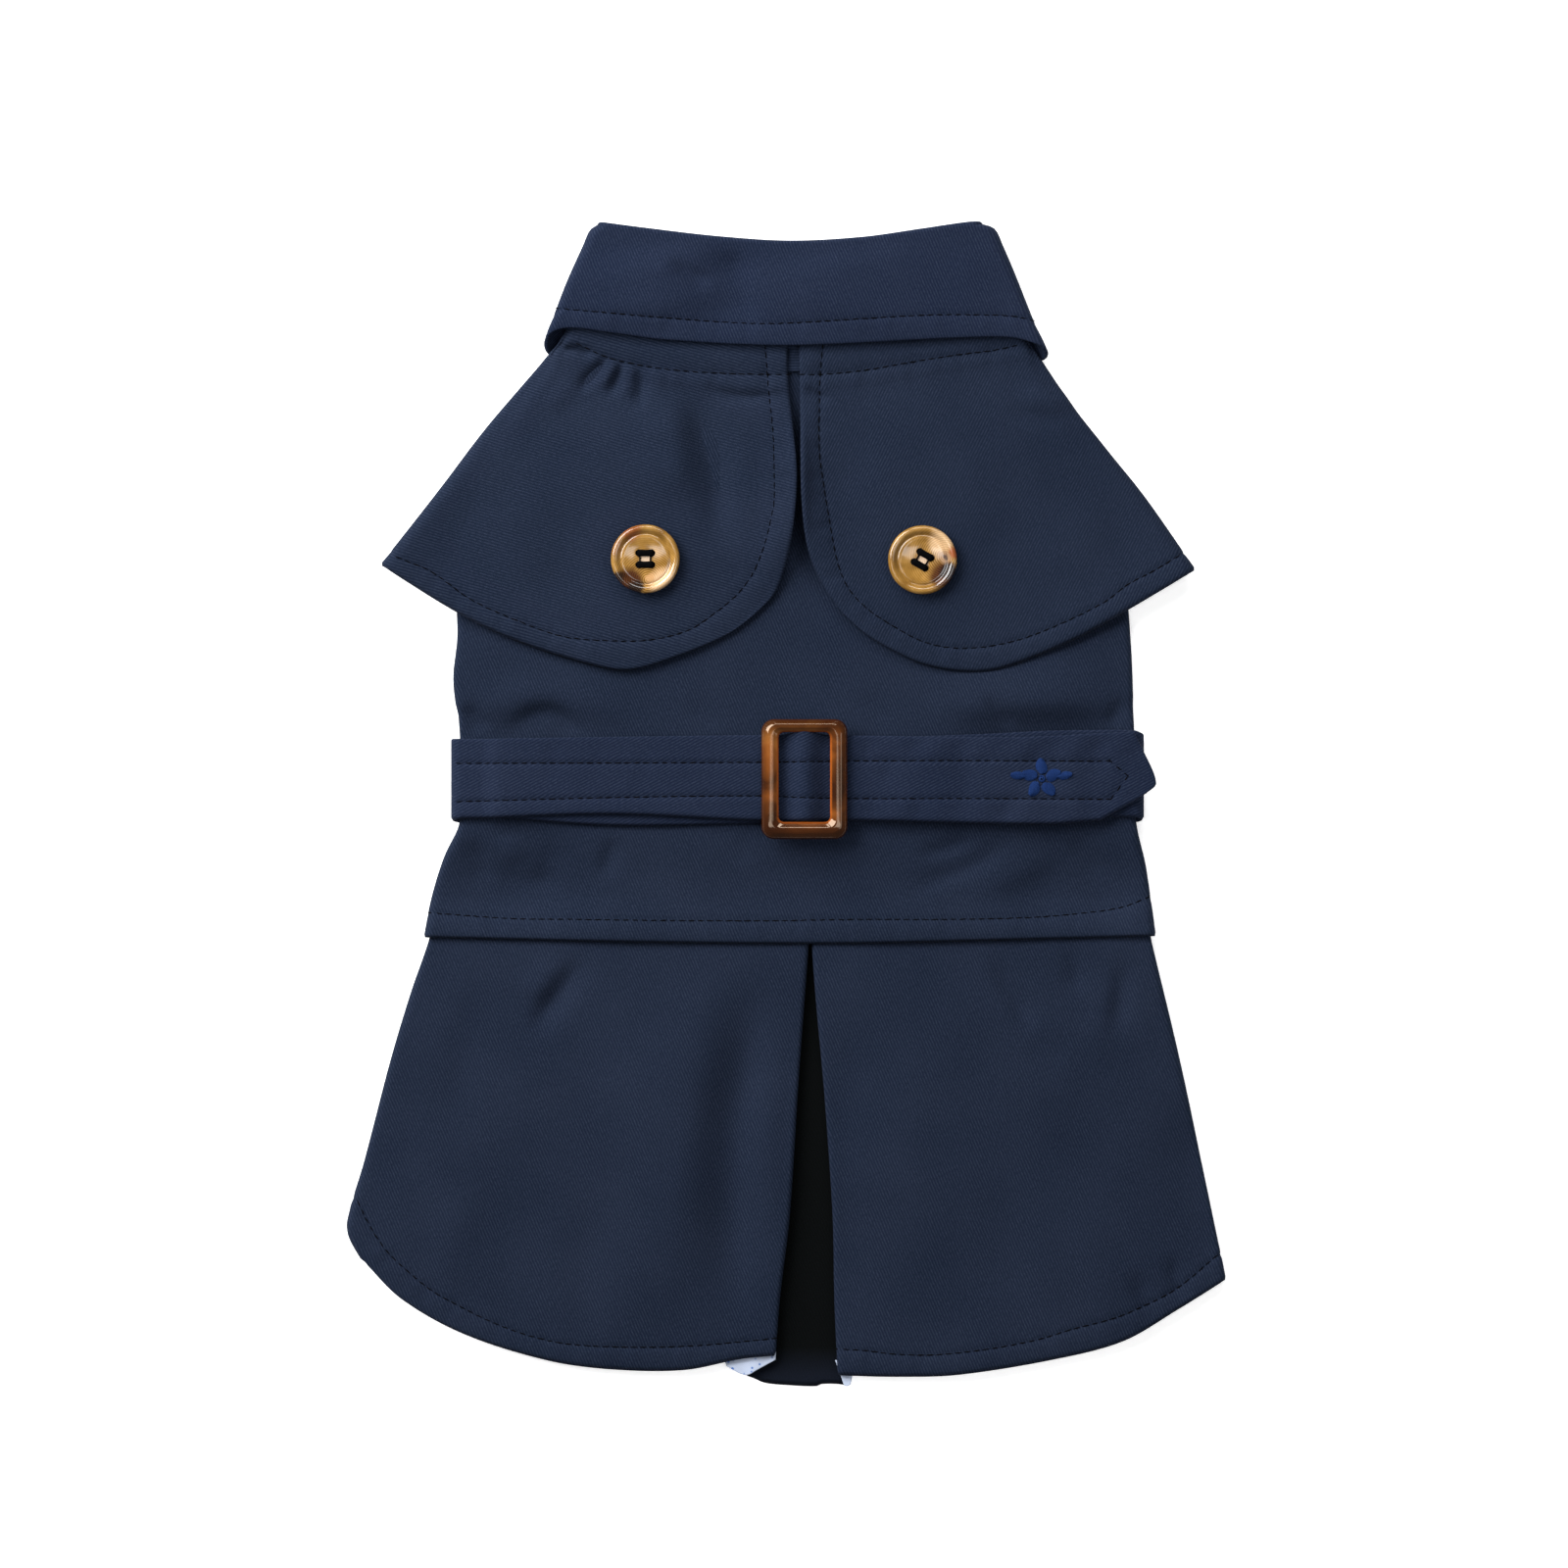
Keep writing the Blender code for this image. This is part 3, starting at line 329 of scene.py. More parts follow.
def add(tree, kind, inputs=None, **settings):
    """Adds a node with its settings. inputs gives its sockets a value each, or another node's output."""
    made = tree.nodes.new(kind)
    for key, value in settings.items():
        setattr(made, key, value)
    for key, value in (inputs or {}).items():
        if isinstance(value, bpy.types.NodeSocket):
            tree.links.new(value, made.inputs[key])
        else:
            made.inputs[key].default_value = value
    return made


def calc(tree, operation, *values, **settings):
    """What a Math node makes of one to three values or sockets."""
    return add(tree, "ShaderNodeMath", dict(enumerate(values)), operation=operation, **settings).outputs[0]


def ranged(tree, value, low, high, to_low=0.0, to_high=1.0, **settings):
    """A value's place between low and high, as a place between to_low and to_high."""
    ends = {"From Min": low, "From Max": high, "To Min": to_low, "To Max": to_high}
    return add(tree, "ShaderNodeMapRange", {"Value": value, **ends}, **settings).outputs["Result"]


def noise(tree, place, scale, detail, **more):
    """A soft random value at each place."""
    inputs = {"Vector": place, "Scale": scale, "Detail": detail, **more}
    return add(tree, "ShaderNodeTexNoise", inputs).outputs["Fac"]


def ramp(tree, level, *stops):
    """The colour at a level of a ramp with stops, each a place and a hex colour."""
    made = add(tree, "ShaderNodeValToRGB", {"Fac": level})
    elements = made.color_ramp.elements
    for k, (place, code) in ((0, stops[0]), (1, stops[-1])):
        elements[k].position, elements[k].color = place, linear(code)
    for place, code in stops[1:-1]:
        elements.new(place).color = linear(code)
    return made.outputs["Color"]


def new_material(name, values):
    """A material, its node tree and its Principled shader, with the shader's constant values set."""
    material = bpy.data.materials.new(name)
    material.use_nodes = True
    shader = material.node_tree.nodes["Principled BSDF"]
    for key, value in values.items():
        shader.inputs[key].default_value = value
    return material, material.node_tree, shader


RIB = 0.82  # mm between the twill's ribs, as on the real cloth
RIB_HIGH = 0.06
RIB_TURN = 113  # degrees that the ribs run at on a piece cut along the cloth's length


def twill(name, dark, light):
    """Cotton twill, woven and yarn-dyed: matt, with fine diagonal ribs broken into short lighter floats, a
    faint nap that lightens it at a flat angle, and slow cloudiness from the dye."""
    material, tree, shader = new_material(name, {
        "Roughness": 0.9, "Specular IOR Level": 0.06, "Sheen Weight": 0.02, "Sheen Roughness": 0.5,
        "Sheen Tint": linear("#8794b4"),
    })
    cut = add(tree, "ShaderNodeUVMap", uv_map="cut").outputs["UV"]
    # A sine of 20 times the scaled coordinate gives the bands
    ribs = add(tree, "ShaderNodeTexWave", {
        "Vector": cut, "Scale": 2 * math.pi / 20 / RIB, "Distortion": 0.9, "Detail": 1.0, "Detail Scale": 0.8,
    }, wave_type="BANDS", bands_direction="X").outputs["Fac"]
    drawn_out = add(tree, "ShaderNodeMapping", {"Vector": cut, "Scale": (1.9, 1.15, 1.0)}).outputs["Vector"]
    floats = ranged(tree, noise(tree, drawn_out, 1.0, 2.0), 0.32, 0.68, 0.25, 0.9)
    raised = calc(tree, "MULTIPLY", ribs, floats)
    cloudy = noise(tree, cut, 0.035, 2.0)
    fuzz = noise(tree, cut, 1.9, 3.0, Roughness=0.75)
    level = calc(tree, "MULTIPLY_ADD", raised, 0.72, -0.22)
    level = calc(tree, "MULTIPLY_ADD", cloudy, 0.3, level)
    level = calc(tree, "MULTIPLY_ADD", fuzz, 0.42, level)
    tree.links.new(ramp(tree, level, (0.0, dark), (1.0, light)), shader.inputs["Base Color"])
    height = calc(tree, "MULTIPLY_ADD", fuzz, 0.3, raised)
    bump = add(tree, "ShaderNodeBump", {"Height": height, "Strength": 1.0, "Distance": RIB_HIGH * MM})
    tree.links.new(bump.outputs["Normal"], shader.inputs["Normal"])
    return material


NAVY_TWILL = twill("navy cotton twill", "#071120", "#282f40")


def belt_lift(y):
    """How far the belt lifts the cloth that lies on it underneath, fading out beyond its edges."""
    reach, fade = 8.6, 6.0
    return BELT_LIFT * smooth((BELT_EDGES[0] + reach - y) / fade) * smooth((y - BELT_EDGES[1] + reach) / fade)


def body_height(x, y):
    """The body's upper cloth: lifted by the belt, steeply above it and slowly below, crowned across its
    middle, and raised over the skirt's top."""
    lift = BELT_LIFT * smooth((BELT_EDGES[0] - 0.4 - y) / 4.0) * smooth((y - BELT_EDGES[1] + 19.0) / 17.0)
    lap = smooth((WAIST[0][1] + 13.0 - y) / 12.0)
    neck = smooth((BODY_LEFT[0][1] - y) / 20.0)
    crown = BODY_CROWN * np.maximum(0.0, 1 - (x / 95.0) ** 2) * (1 - lift / BELT_LIFT) * (1 - lap) * neck
    return BODY_LEVEL + lift + crown + BODY_LAP * lap


def bodice_height(x, y, u, v):
    """The body with its creases, which end below the flaps, and the row of stitches above the skirt."""
    shown = smooth((62.0 - y) / 10.0)
    uneven = relief(x, y, BODY_CREASES) + drift(x, y, 0.7, 0.11)
    return body_height(x, y) + relief(x, y, BODY_DIP) + shown * (uneven + sewn(x, y, WAIST_STITCH, -1))


def body_turn(v):
    """How far the body's sides go back underneath, and at what height."""
    y = along(BODY_LEFT, v[:, 0])[:, 1:]
    return BODY_TURN * smooth(v * 4 + 0.5), FLOOR + belt_lift(y) + 0.3 * (1 - smooth(v * 10))


def show(piece, slot, *nodes):
    """Puts a piece in the dress's one body and hides the CAD nodes that it stands for. slot, its finish's
    slot, is not used.
    """
    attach(piece, "root")
    if nodes:
        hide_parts(*nodes)
    return piece


CLOSE = (0.0, 0.5, 0.12)  # close stations for the round of an edge
grid, flat = panel(
    (BODY_NECK, WAIST, BODY_LEFT, BODY_RIGHT),
    stations(200.0, 1.35),
    stations(168.0, 2.6, CLOSE, (64.0, 158.0, 1.1), (158.0, 164.0, 0.6), (164.0, 167.3, 0.9),
             (167.3, 168.0, 0.14)),
    bodice_height, CLOTH, body_turn, body_turn,
)
bodice = show(shell("bodice", grid, flat, CLOTH, RIB_TURN, NAVY_TWILL), "navy_twill", "bodice_back")


# Rows of topstitching: one black polyester thread, sewn by machine. Each stitch is a short length of thread
# that dips into the cloth at both ends.

def thread_material(name, colour):
    """Spun sewing thread, matt, its fine twisted fibres lighter and darker."""
    material, tree, shader = new_material(name, {"Roughness": 0.85, "Specular IOR Level": 0.04})
    fibres = noise(tree, add(tree, "ShaderNodeTexCoord").outputs["Object"], 4000.0, 1.0)
    shade = add(tree, "ShaderNodeHueSaturation",
                {"Color": linear(colour), "Value": ranged(tree, fibres, 0.0, 1.0, 0.6, 1.5)})
    tree.links.new(shade.outputs["Color"], shader.inputs["Base Color"])
    return material


BLACK_THREAD = thread_material("black polyester thread", "#030304")


def node_group(name, sockets):
    """A Geometry Nodes group that makes thread along a line of edges: its inputs, each a name and a default
    value in metres, and the line's curve."""
    tree = bpy.data.node_groups.new(name, "GeometryNodeTree")
    tree.interface.new_socket("Line", in_out="INPUT", socket_type="NodeSocketGeometry")
    for socket_name, default in sockets.items():
        socket = tree.interface.new_socket(socket_name, in_out="INPUT", socket_type="NodeSocketFloat")
        socket.default_value = default
    tree.interface.new_socket("Thread", in_out="INPUT", socket_type="NodeSocketMaterial")
    tree.interface.new_socket("Threads", in_out="OUTPUT", socket_type="NodeSocketGeometry")
    given = add(tree, "NodeGroupInput").outputs
    return tree, given, add(tree, "GeometryNodeMeshToCurve", {"Mesh": given["Line"]}).outputs[0]


def end_group(tree, threads, material):
    """The group's result: real geometry, shaded smooth, of the thread's material."""
    real = add(tree, "GeometryNodeRealizeInstances", {"Geometry": threads})
    round_off = add(tree, "GeometryNodeSetShadeSmooth", {"Geometry": real.outputs[0]})
    dressed = add(tree, "GeometryNodeSetMaterial", {"Geometry": round_off.outputs[0], "Material": material})
    add(tree, "NodeGroupOutput", {"Threads": dressed.outputs[0]})


stitch_tree, given, line = node_group(
    "topstitching", {"Pitch": STITCH_PITCH * MM, "Stitch Length": 2.35 * MM, "Thread Width": 0.33 * MM}
)
spots = add(stitch_tree, "GeometryNodeResampleCurve",
            {"Curve": line, "Length": given["Pitch"]}, mode="LENGTH")
turn = add(stitch_tree, "FunctionNodeAlignRotationToVector",
           {"Vector": add(stitch_tree, "GeometryNodeInputTangent").outputs[0]}, axis="X")
lean = add(stitch_tree, "FunctionNodeRandomValue",
           {"Min": (0.0, 0.0, -0.09), "Max": (0.0, 0.0, 0.09), "Seed": 5}, data_type="FLOAT_VECTOR")
leant = add(stitch_tree, "FunctionNodeRotateRotation",
            {"Rotation": turn.outputs[0], "Rotate By": lean.outputs[0]}, rotation_space="LOCAL")
uneven = add(stitch_tree, "FunctionNodeRandomValue",
             {"Min": (0.82, 0.85, 0.8), "Max": (1.1, 1.1, 1.2), "Seed": 9}, data_type="FLOAT_VECTOR")
size = add(stitch_tree, "ShaderNodeCombineXYZ",
           {"X": given["Stitch Length"], "Y": given["Thread Width"], "Z": given["Thread Width"]})
ball = add(stitch_tree, "GeometryNodeMeshUVSphere", {"Segments": 8, "Rings": 6, "Radius": 0.5})
stitch = add(stitch_tree, "GeometryNodeTransform",
             {"Geometry": ball.outputs["Mesh"], "Scale": size.outputs[0]})
copies = add(stitch_tree, "GeometryNodeInstanceOnPoints",
             {"Points": spots.outputs[0], "Instance": stitch.outputs[0], "Rotation": leant.outputs[0],
              "Scale": uneven.outputs[0]})
end_group(stitch_tree, copies.outputs[0], given["Thread"])


def laid_on(cloth, points, lift):
    """Places on a cloth's upper side, in metres, straight below the points of a table in millimetres."""
    mesh = cloth.data
    tree = BVHTree.FromPolygons([v.co for v in mesh.vertices], [p.vertices for p in mesh.polygons])
    found = []
    for x, y in points:
        hit = tree.ray_cast((x * MM, y * MM, 50 * MM), (0, 0, -1))[0]
        if hit is not None:
            found.append((hit.x, hit.y, hit.z + lift * MM))
    return found


def through_tree(name, tree, points, edges, values):
    """The mesh that a node tree makes from points and edges, as a plain object."""
    mesh = bpy.data.meshes.new(name + "_line")
    mesh.from_pydata(points, edges, [])
    guide = put(name + "_line", mesh)
    modifier = guide.modifiers.new(tree.name, "NODES")
    modifier.node_group = tree
    for item in tree.interface.items_tree:
        if item.name in values:
            modifier[item.identifier] = values[item.name]
    bpy.context.view_layer.update()
    graph = bpy.context.evaluated_depsgraph_get()
    made = bpy.data.meshes.new_from_object(guide.evaluated_get(graph))
    bpy.data.objects.remove(guide)
    return put(name, made)


def sew(name, cloth, *lines):
    """Rows of topstitching along lines of a table, on a finished cloth."""
    points, edges = [], []
    for row in lines:
        length = np.hypot(*np.diff(along(row, np.linspace(0, 1, 60)), axis=0).T).sum()
        spots = laid_on(cloth, along(row, np.linspace(0, 1, int(length / 1.45))), 0.08)
        edges += [(len(points) + k, len(points) + k + 1) for k in range(len(spots) - 1)]
        points += spots
    return show(through_tree(name, stitch_tree, points, edges, {"Thread": BLACK_THREAD}), "navy_twill")


bodice_stitches = sew("bodice_stitches", bodice, WAIST_STITCH)

# ------------------------------------------------------------------------------------------- belly panel
# The plain panel under the dog's belly, hidden below the dress: single twill with two leg holes, each bound
# with a folded strip of the same cloth.

BELLY_TOP = 124.0
BELLY_INNER = BODY_TURN + 2.9  # from the body's outline to this panel's edge
LEG_HOLES = [(-34.0, 88.0), (34.0, 88.0)]
LEG_HOLE = (17.6, 22.6)  # half its width and length
BINDING = (3.0, 1.0)  # its width and thickness
BINDING_STEPS = (96, 12)  # points round the hole, and round the binding's section

y_rows = mix(BELLY_TOP, WAIST[0][1] + 1.0, stations(162.0, 2.4, CLOSE, (161.0, 162.0, 0.14)))[:, None]
left_edge, right_edge = crossing(BODY_LEFT, y_rows) + BELLY_INNER, crossing(BODY_RIGHT, y_rows) - BELLY_INNER
flat_x = mix(left_edge, right_edge, stations(170.0, 2.4, CLOSE, (169.0, 170.0, 0.14))[None, :])
flat = np.dstack([flat_x, y_rows + 0 * flat_x])
grid = np.dstack([flat, FLOOR + belt_lift(flat[..., 1])])
belly = shell("belly_panel_cloth", grid, flat, CLOTH, RIB_TURN, NAVY_TWILL)


def write(shape, mesh):
    """Puts a closed shape into a mesh, its faces turned outward."""
    bmesh.ops.recalc_face_normals(shape, faces=shape.faces)
    shape.to_mesh(mesh)
    shape.free()


def punch(piece, places, half_x, half_y, segments):
    """Cuts upright round holes through a piece. Their places and half sizes are in millimetres."""
    cutters = []
    for x, y in places:
        shape = bmesh.new()
        bmesh.ops.create_cone(shape, cap_ends=True, segments=segments, radius1=MM, radius2=MM, depth=20 * MM)
        bmesh.ops.scale(shape, verts=shape.verts, vec=(half_x, half_y, 1.0))
        bmesh.ops.translate(shape, verts=shape.verts, vec=(x * MM, y * MM, 0.0))
        cutters.append(put("hole", bpy.data.meshes.new("hole")))
        write(shape, cutters[-1].data)
        piece.modifiers.new("hole", "BOOLEAN").object = cutters[-1]
    bpy.context.view_layer.update()
    piece.data = bpy.data.meshes.new_from_object(piece.evaluated_get(bpy.context.evaluated_depsgraph_get()))
    piece.data.name = piece.name
    piece.modifiers.clear()
    for cutter in cutters:
        bpy.data.objects.remove(cutter)


def wrapped(rows, columns):
    """The faces of a grid of points whose last row and column join its first."""
    index = np.arange(rows * columns).reshape(rows, columns)
    ahead = np.roll(index, -1, axis=0)
    return np.dstack([index, ahead, np.roll(ahead, -1, axis=1), np.roll(index, -1, axis=1)]).reshape(-1, 4)


punch(belly, LEG_HOLES, *LEG_HOLE, 72)
show(belly, "navy_twill", "belly_panel")
for side, (cx, cy) in zip(("left", "right"), LEG_HOLES):
    rim = 2 * math.pi * np.arange(BINDING_STEPS[0])[:, None] / BINDING_STEPS[0]
    turn = np.linspace(math.pi, -math.pi, BINDING_STEPS[1] + 1)[None, :-1]
    out = BINDING[0] / 2 * np.cos(turn)
    points = np.dstack([
        cx + (LEG_HOLE[0] + out) * np.cos(rim), cy + (LEG_HOLE[1] + out) * np.sin(rim),
        0.52 + BINDING[1] / 2 * np.sin(turn) + 0 * rim,
    ]).reshape(-1, 3)
    run = np.dstack([turn * 1.2 + 0 * rim, rim * 20 + 0 * turn]).reshape(-1, 2)
    binding = surface(f"leg_binding_{side}", points, wrapped(*BINDING_STEPS), NAVY_TWILL, run)
    shape = bmesh.new()
    shape.from_mesh(binding.data)
    write(shape, binding.data)
    show(binding, "navy_twill")

# ------------------------------------------------------------------------------------------- skirt panels
# Two panels of single twill, left and right of an inverted box pleat. Each is folded round the side of the
# dress and goes on underneath, and folds in behind itself at the pleat. The hems are topstitched.

SKIRT_L = {
    "waist": [(-103.1, -34.5), (-61.3, -35.0), (-13.1, -35.6), (6.7, -35.8)],
    "side": [(-103.1, -34.5), (-104.2, -40.0), (-109.2, -54.6), (-115.2, -75.0), (-122.8, -104.5),
             (-127.2, -120.0), (-127.0, -125.5), (-123.1, -132.7)],
    "hem": [(-123.1, -132.7), (-112.0, -143.8), (-93.8, -154.0), (-69.3, -161.7), (-50.0, -164.3),
            (-29.6, -164.4), (-13.1, -161.2), (-3.1, -160.3)],
    "pleat": [(6.7, -35.8), (6.3, -42.0), (3.4, -80.8), (0.9, -119.6), (-2.0, -144.4), (-3.1, -160.3)],
    "stitch": [(-124.4, -116.0), (-120.6, -123.5), (-116.0, -130.1), (-109.7, -136.1), (-102.9, -141.5),
               (-95.2, -145.8), (-86.1, -150.3), (-76.9, -153.8), (-67.0, -156.3), (-59.4, -157.2),
               (-47.9, -157.7), (-36.5, -157.7), (-25.1, -157.2), (-14.4, -156.3), (-3.6, -155.2)],
}
SKIRT_R = {
    "waist": [(7.1, -35.8), (45.9, -35.2), (105.0, -34.5)],
    "side": [(105.0, -34.5), (106.0, -40.0), (113.7, -72.5), (121.7, -109.9), (127.5, -138.2)],
    "hem": [(14.6, -166.0), (32.2, -166.4), (50.0, -165.8), (78.4, -161.2), (97.8, -156.0), (113.7, -146.8),
            (127.5, -138.2)],
    "pleat": [(7.1, -35.8), (7.2, -41.2), (8.3, -56.3), (10.8, -84.8), (13.1, -119.6), (13.7, -144.4),
              (14.6, -166.0)],
    "stitch": [(124.4, -131.6), (113.7, -140.4), (104.9, -145.2), (95.3, -149.2), (82.6, -152.6),
               (73.0, -155.5), (58.4, -158.3), (42.5, -160.0), (30.5, -159.7), (22.5, -158.7),
               (14.6, -158.3)],
}
SKIRT_LEVEL = 3.55
SKIRT_CROWN = 0.5
SKIRT_UNDER = 1.65  # where a panel goes back over the underlay
SKIRT_SIDE_TURN = 26.0
PLEAT_TURN = 13.0
PLEAT_DROP = -0.4  # below 0: the cloth turned under at the pleat ends a little above the hem
SKIRT_CREASES = [
    ([(-57.0, -38.0), (-61.3, -47.2), (-67.8, -56.4), (-75.4, -69.5)], -1.9, 4.2, 3.0),
    ([(-66.0, -42.0), (-75.0, -58.0)], 1.1, 4.5, 4.5),
    ([(-12.0, -38.5), (-11.0, -54.0), (-12.2, -74.0), (-15.4, -94.0), (-16.0, -114.0), (-15.0, -134.0),
      (-13.6, -166.0)], -2.5, 6.4, 8.0),
    ([(-3.0, -46.0), (-3.6, -70.0), (-5.4, -100.0), (-4.4, -150.0)], 0.5, 4.0, 6.5),
    ([(-23.0, -40.0), (-28.0, -80.0), (-34.0, -120.0), (-35.0, -160.0)], 2.5, 11.0, 18.0),
    ([(-88.0, -46.0), (-93.0, -70.0), (-98.0, -100.0)], -0.5, 6.0, 5.0),
    ([(-78.0, -110.0), (-80.0, -136.0), (-82.0, -160.0)], -0.5, 8.0, 8.0),
    ([(-92.0, -108.0), (-98.0, -130.0), (-100.0, -148.0)], 0.5, 6.0, 6.0),
    ([(-55.0, -110.0), (-58.0, -136.0), (-58.0, -164.0)], -0.5, 7.0, 6.0),
    ([(59.0, -39.0), (62.6, -50.0), (68.0, -59.0), (74.0, -69.0)], -1.5, 3.6, 3.2),
    ([(82.0, -36.5), (83.4, -46.0), (84.8, -57.0)], -1.5, 2.6, 3.4),
    ([(98.0, -41.0), (97.0, -54.0), (94.6, -70.0)], -1.1, 3.6, 3.0),
    ([(70.0, -66.5), (76.0, -70.0), (83.0, -74.0)], -0.45, 4.0, 5.0),
    ([(92.0, -44.0), (92.0, -58.0), (89.0, -76.0)], 0.5, 4.0, 4.0),
    ([(111.0, -130.0), (113.0, -138.0), (115.0, -147.4)], -1.0, 2.6, 2.6),
    ([(100.0, -134.0), (104.3, -144.9), (109.0, -154.0)], -1.0, 2.8, 2.8),
    ([(84.0, -112.0), (90.0, -132.0), (95.0, -156.0)], 0.6, 7.0, 6.0),
    ([(118.0, -80.0), (122.0, -110.0), (125.0, -145.0)], -1.9, 9.0, 13.0),
    ([(30.0, -52.0), (36.0, -90.0), (40.0, -140.0)], 0.5, 9.0, 9.0),
    ([(60.0, -80.0), (64.0, -118.0), (66.0, -158.0)], -0.45, 8.0, 8.0),
    ([(18.0, -46.0), (17.0, -90.0), (19.0, -150.0)], -0.5, 6.0, 5.0),
]


def skirt_height(shape, outside):
    """A panel's height: crowned across, creased and stitched, from a little below its sewn top."""
    def height(x, y, u, v):
        crown = SKIRT_CROWN * np.sin(math.pi * np.clip(u, 0.0, 1.0))
        uneven = relief(x, y, SKIRT_CREASES) + drift(x, y, 1.9, 0.14) + sewn(x, y, shape["stitch"], outside)
        return SKIRT_LEVEL + (crown + uneven) * smooth(v * 5)
    return height


def skirt_side(v):
    """The turn round the dress's side, which comes down to the floor below the body's."""
    low = mix(SKIRT_UNDER, FLOOR, smooth((v - 0.07) / 0.1))
    return SKIRT_SIDE_TURN, low + 0.15 * smooth((v - 0.85) * 8)


def skirt_pleat(v):
    """The turn at the pleat, over the underlay."""
    return PLEAT_TURN, SKIRT_UNDER


SKIRT_ROWS = stations(128.0, 1.3, CLOSE, (112.0, 124.0, 0.6), (127.4, 128.0, 0.14))
for name, shape, left, right, outside, drop in (
    ("left", SKIRT_L, skirt_side, skirt_pleat, -1, (0.0, PLEAT_DROP)),
    ("right", SKIRT_R, skirt_pleat, skirt_side, 1, (PLEAT_DROP, 0.0)),
):
    sides = (shape["side"], shape["pleat"]) if name == "left" else (shape["pleat"], shape["side"])
    grid, flat = panel((shape["waist"], shape["hem"], *sides), stations(115.0, 1.2), SKIRT_ROWS,
                       skirt_height(shape, outside), CLOTH, left, right, drop)
    skirt = shell(f"skirt_panel_{name}", grid, flat, CLOTH, RIB_TURN, NAVY_TWILL)
    show(skirt, "navy_twill", f"skirt_{name}")
    hem = sew(f"skirt_stitches_{name}", skirt, shape["stitch"])


def blend(tree, share, first, second):
    """Two colours mixed."""
    return add(tree, "ShaderNodeMixRGB", {"Fac": share, "Color1": first, "Color2": second}).outputs["Color"]


# The pleat's underlay: a strip of twill behind the opening, sewn to the turned edges of both panels. Its hem
# hangs a little lower than theirs.
UNDERLAY = {
    "top": [(-6.0, -38.6), (20.0, -38.6)],
    "hem": [(-11.6, -166.3), (-9.6, -167.0), (-6.6, -168.3), (0.3, -169.0), (8.6, -169.3), (9.8, -168.7),
            (15.4, -168.7), (17.4, -169.2)],
    "left": [(-6.0, -38.6), (-11.6, -166.3)],
    "right": [(20.0, -38.6), (17.4, -169.2)],
}
# Painted shade: a near-black copy of the navy twill for the pleat's underlay
PAINTED_SHADE_TWILL = twill("navy cotton twill, painted pleat shade", "#010202", "#040607")
# Painted shade: the underlay is painted near black inside the pleat, where shade falls, and painted lighter
# to the dress's navy only near its hem, where light reaches
tree = PAINTED_SHADE_TWILL.node_tree
shader = next(node for node in tree.nodes if node.type == "BSDF_PRINCIPLED")
place = add(tree, "ShaderNodeSeparateXYZ", {0: add(tree, "ShaderNodeTexCoord").outputs["Object"]})
near_hem = ranged(tree, place.outputs["Y"], -158.0 * MM, -168.0 * MM, 0.0, 0.55)
deep = shader.inputs["Base Color"].links[0].from_socket
tree.links.new(blend(tree, near_hem, deep, linear("#161b28")), shader.inputs["Base Color"])
grid, flat = panel(
    (UNDERLAY["top"], UNDERLAY["hem"], UNDERLAY["left"], UNDERLAY["right"]),
    stations(28.0, 1.2, CLOSE, (27.5, 28.0, 0.14)), stations(128.0, 1.5, CLOSE, (127.4, 128.0, 0.14)),
    lambda x, y, u, v: FLOOR + 0 * x, CLOTH,
)
underlay = show(shell("underlay", grid, flat, CLOTH, RIB_TURN, PAINTED_SHADE_TWILL), "navy_twill", "pleat_underlay")

# ------------------------------------------------------------------------------------------- hem facings
# White cotton with a small blue print, plain-woven, that faces the hem inside. It shows only at the two
# corners of the pleat, below the skirt's edge.

FACINGS = {  # top and bottom edge, and the width and length in metres that each is cut to
    "left": ([(-19.6, -156.9), (-13.3, -156.6), (-9.5, -156.4), (-3.0, -156.2)],
             [(-17.6, -163.4), (-12.0, -166.0), (-8.6, -164.4), (-3.3, -161.5)], (0.0160, 0.0100)),
    "right": ([(14.0, -161.6), (16.0, -161.7), (18.0, -161.8), (20.0, -161.8)],
              [(16.6, -169.0), (17.2, -169.2), (17.8, -169.1), (18.5, -168.7)], (0.0100, 0.0100)),
}
FACING = 0.5

PRINTED_COTTON, tree, shader = new_material("printed plain-weave cotton",
                                            {"Roughness": 0.85, "Specular IOR Level": 0.3})
# Printed cotton: a white ground, bleached, with small sprigs of blue dye a few millimetres apart
cut = add(tree, "ShaderNodeUVMap", uv_map="cut").outputs["UV"]
sprig = add(tree, "ShaderNodeTexVoronoi", {"Vector": cut, "Scale": 0.62, "Randomness": 0.9})
paint = blend(tree, ranged(tree, sprig.outputs["Distance"], 0.22, 0.34), linear("#3f62a4"), linear("#aab4c8"))
tree.links.new(paint, shader.inputs["Base Color"])
weave = add(tree, "ShaderNodeTexChecker",
            {"Vector": cut, "Scale": 3.0, "Color1": (1, 1, 1, 1), "Color2": (0, 0, 0, 1)}).outputs["Fac"]
bump = add(tree, "ShaderNodeBump", {"Height": weave, "Strength": 0.5, "Distance": 0.05 * MM})
tree.links.new(bump.outputs["Normal"], shader.inputs["Normal"])

for name, (top, bottom, cut_size) in FACINGS.items():
    grid, flat = panel(
        (top, bottom, [top[0], bottom[0]], [top[-1], bottom[-1]]),
        stations(10.0, 0.5, (0.0, 0.4, 0.1), (9.6, 10.0, 0.1)),
        stations(8.0, 0.4, (0.0, 0.4, 0.1), (7.6, 8.0, 0.1)),
        lambda x, y, u, v: 2.6 - 0.3 * v + 0.12 * v * np.sin(x * 1.1), FACING,
    )
    facing = show(shell(f"hem_facing_{name}", grid, flat, FACING, 0, PRINTED_COTTON), "printed_cotton",
                  f"facing_{name}")

# ------------------------------------------------------------------------------------------- cape flaps
# Two storm flaps over the shoulders, each of two layers of twill sewn, turned and topstitched round. Each is
# sewn in at the neck, folds round the side of the dress and is held by one button.

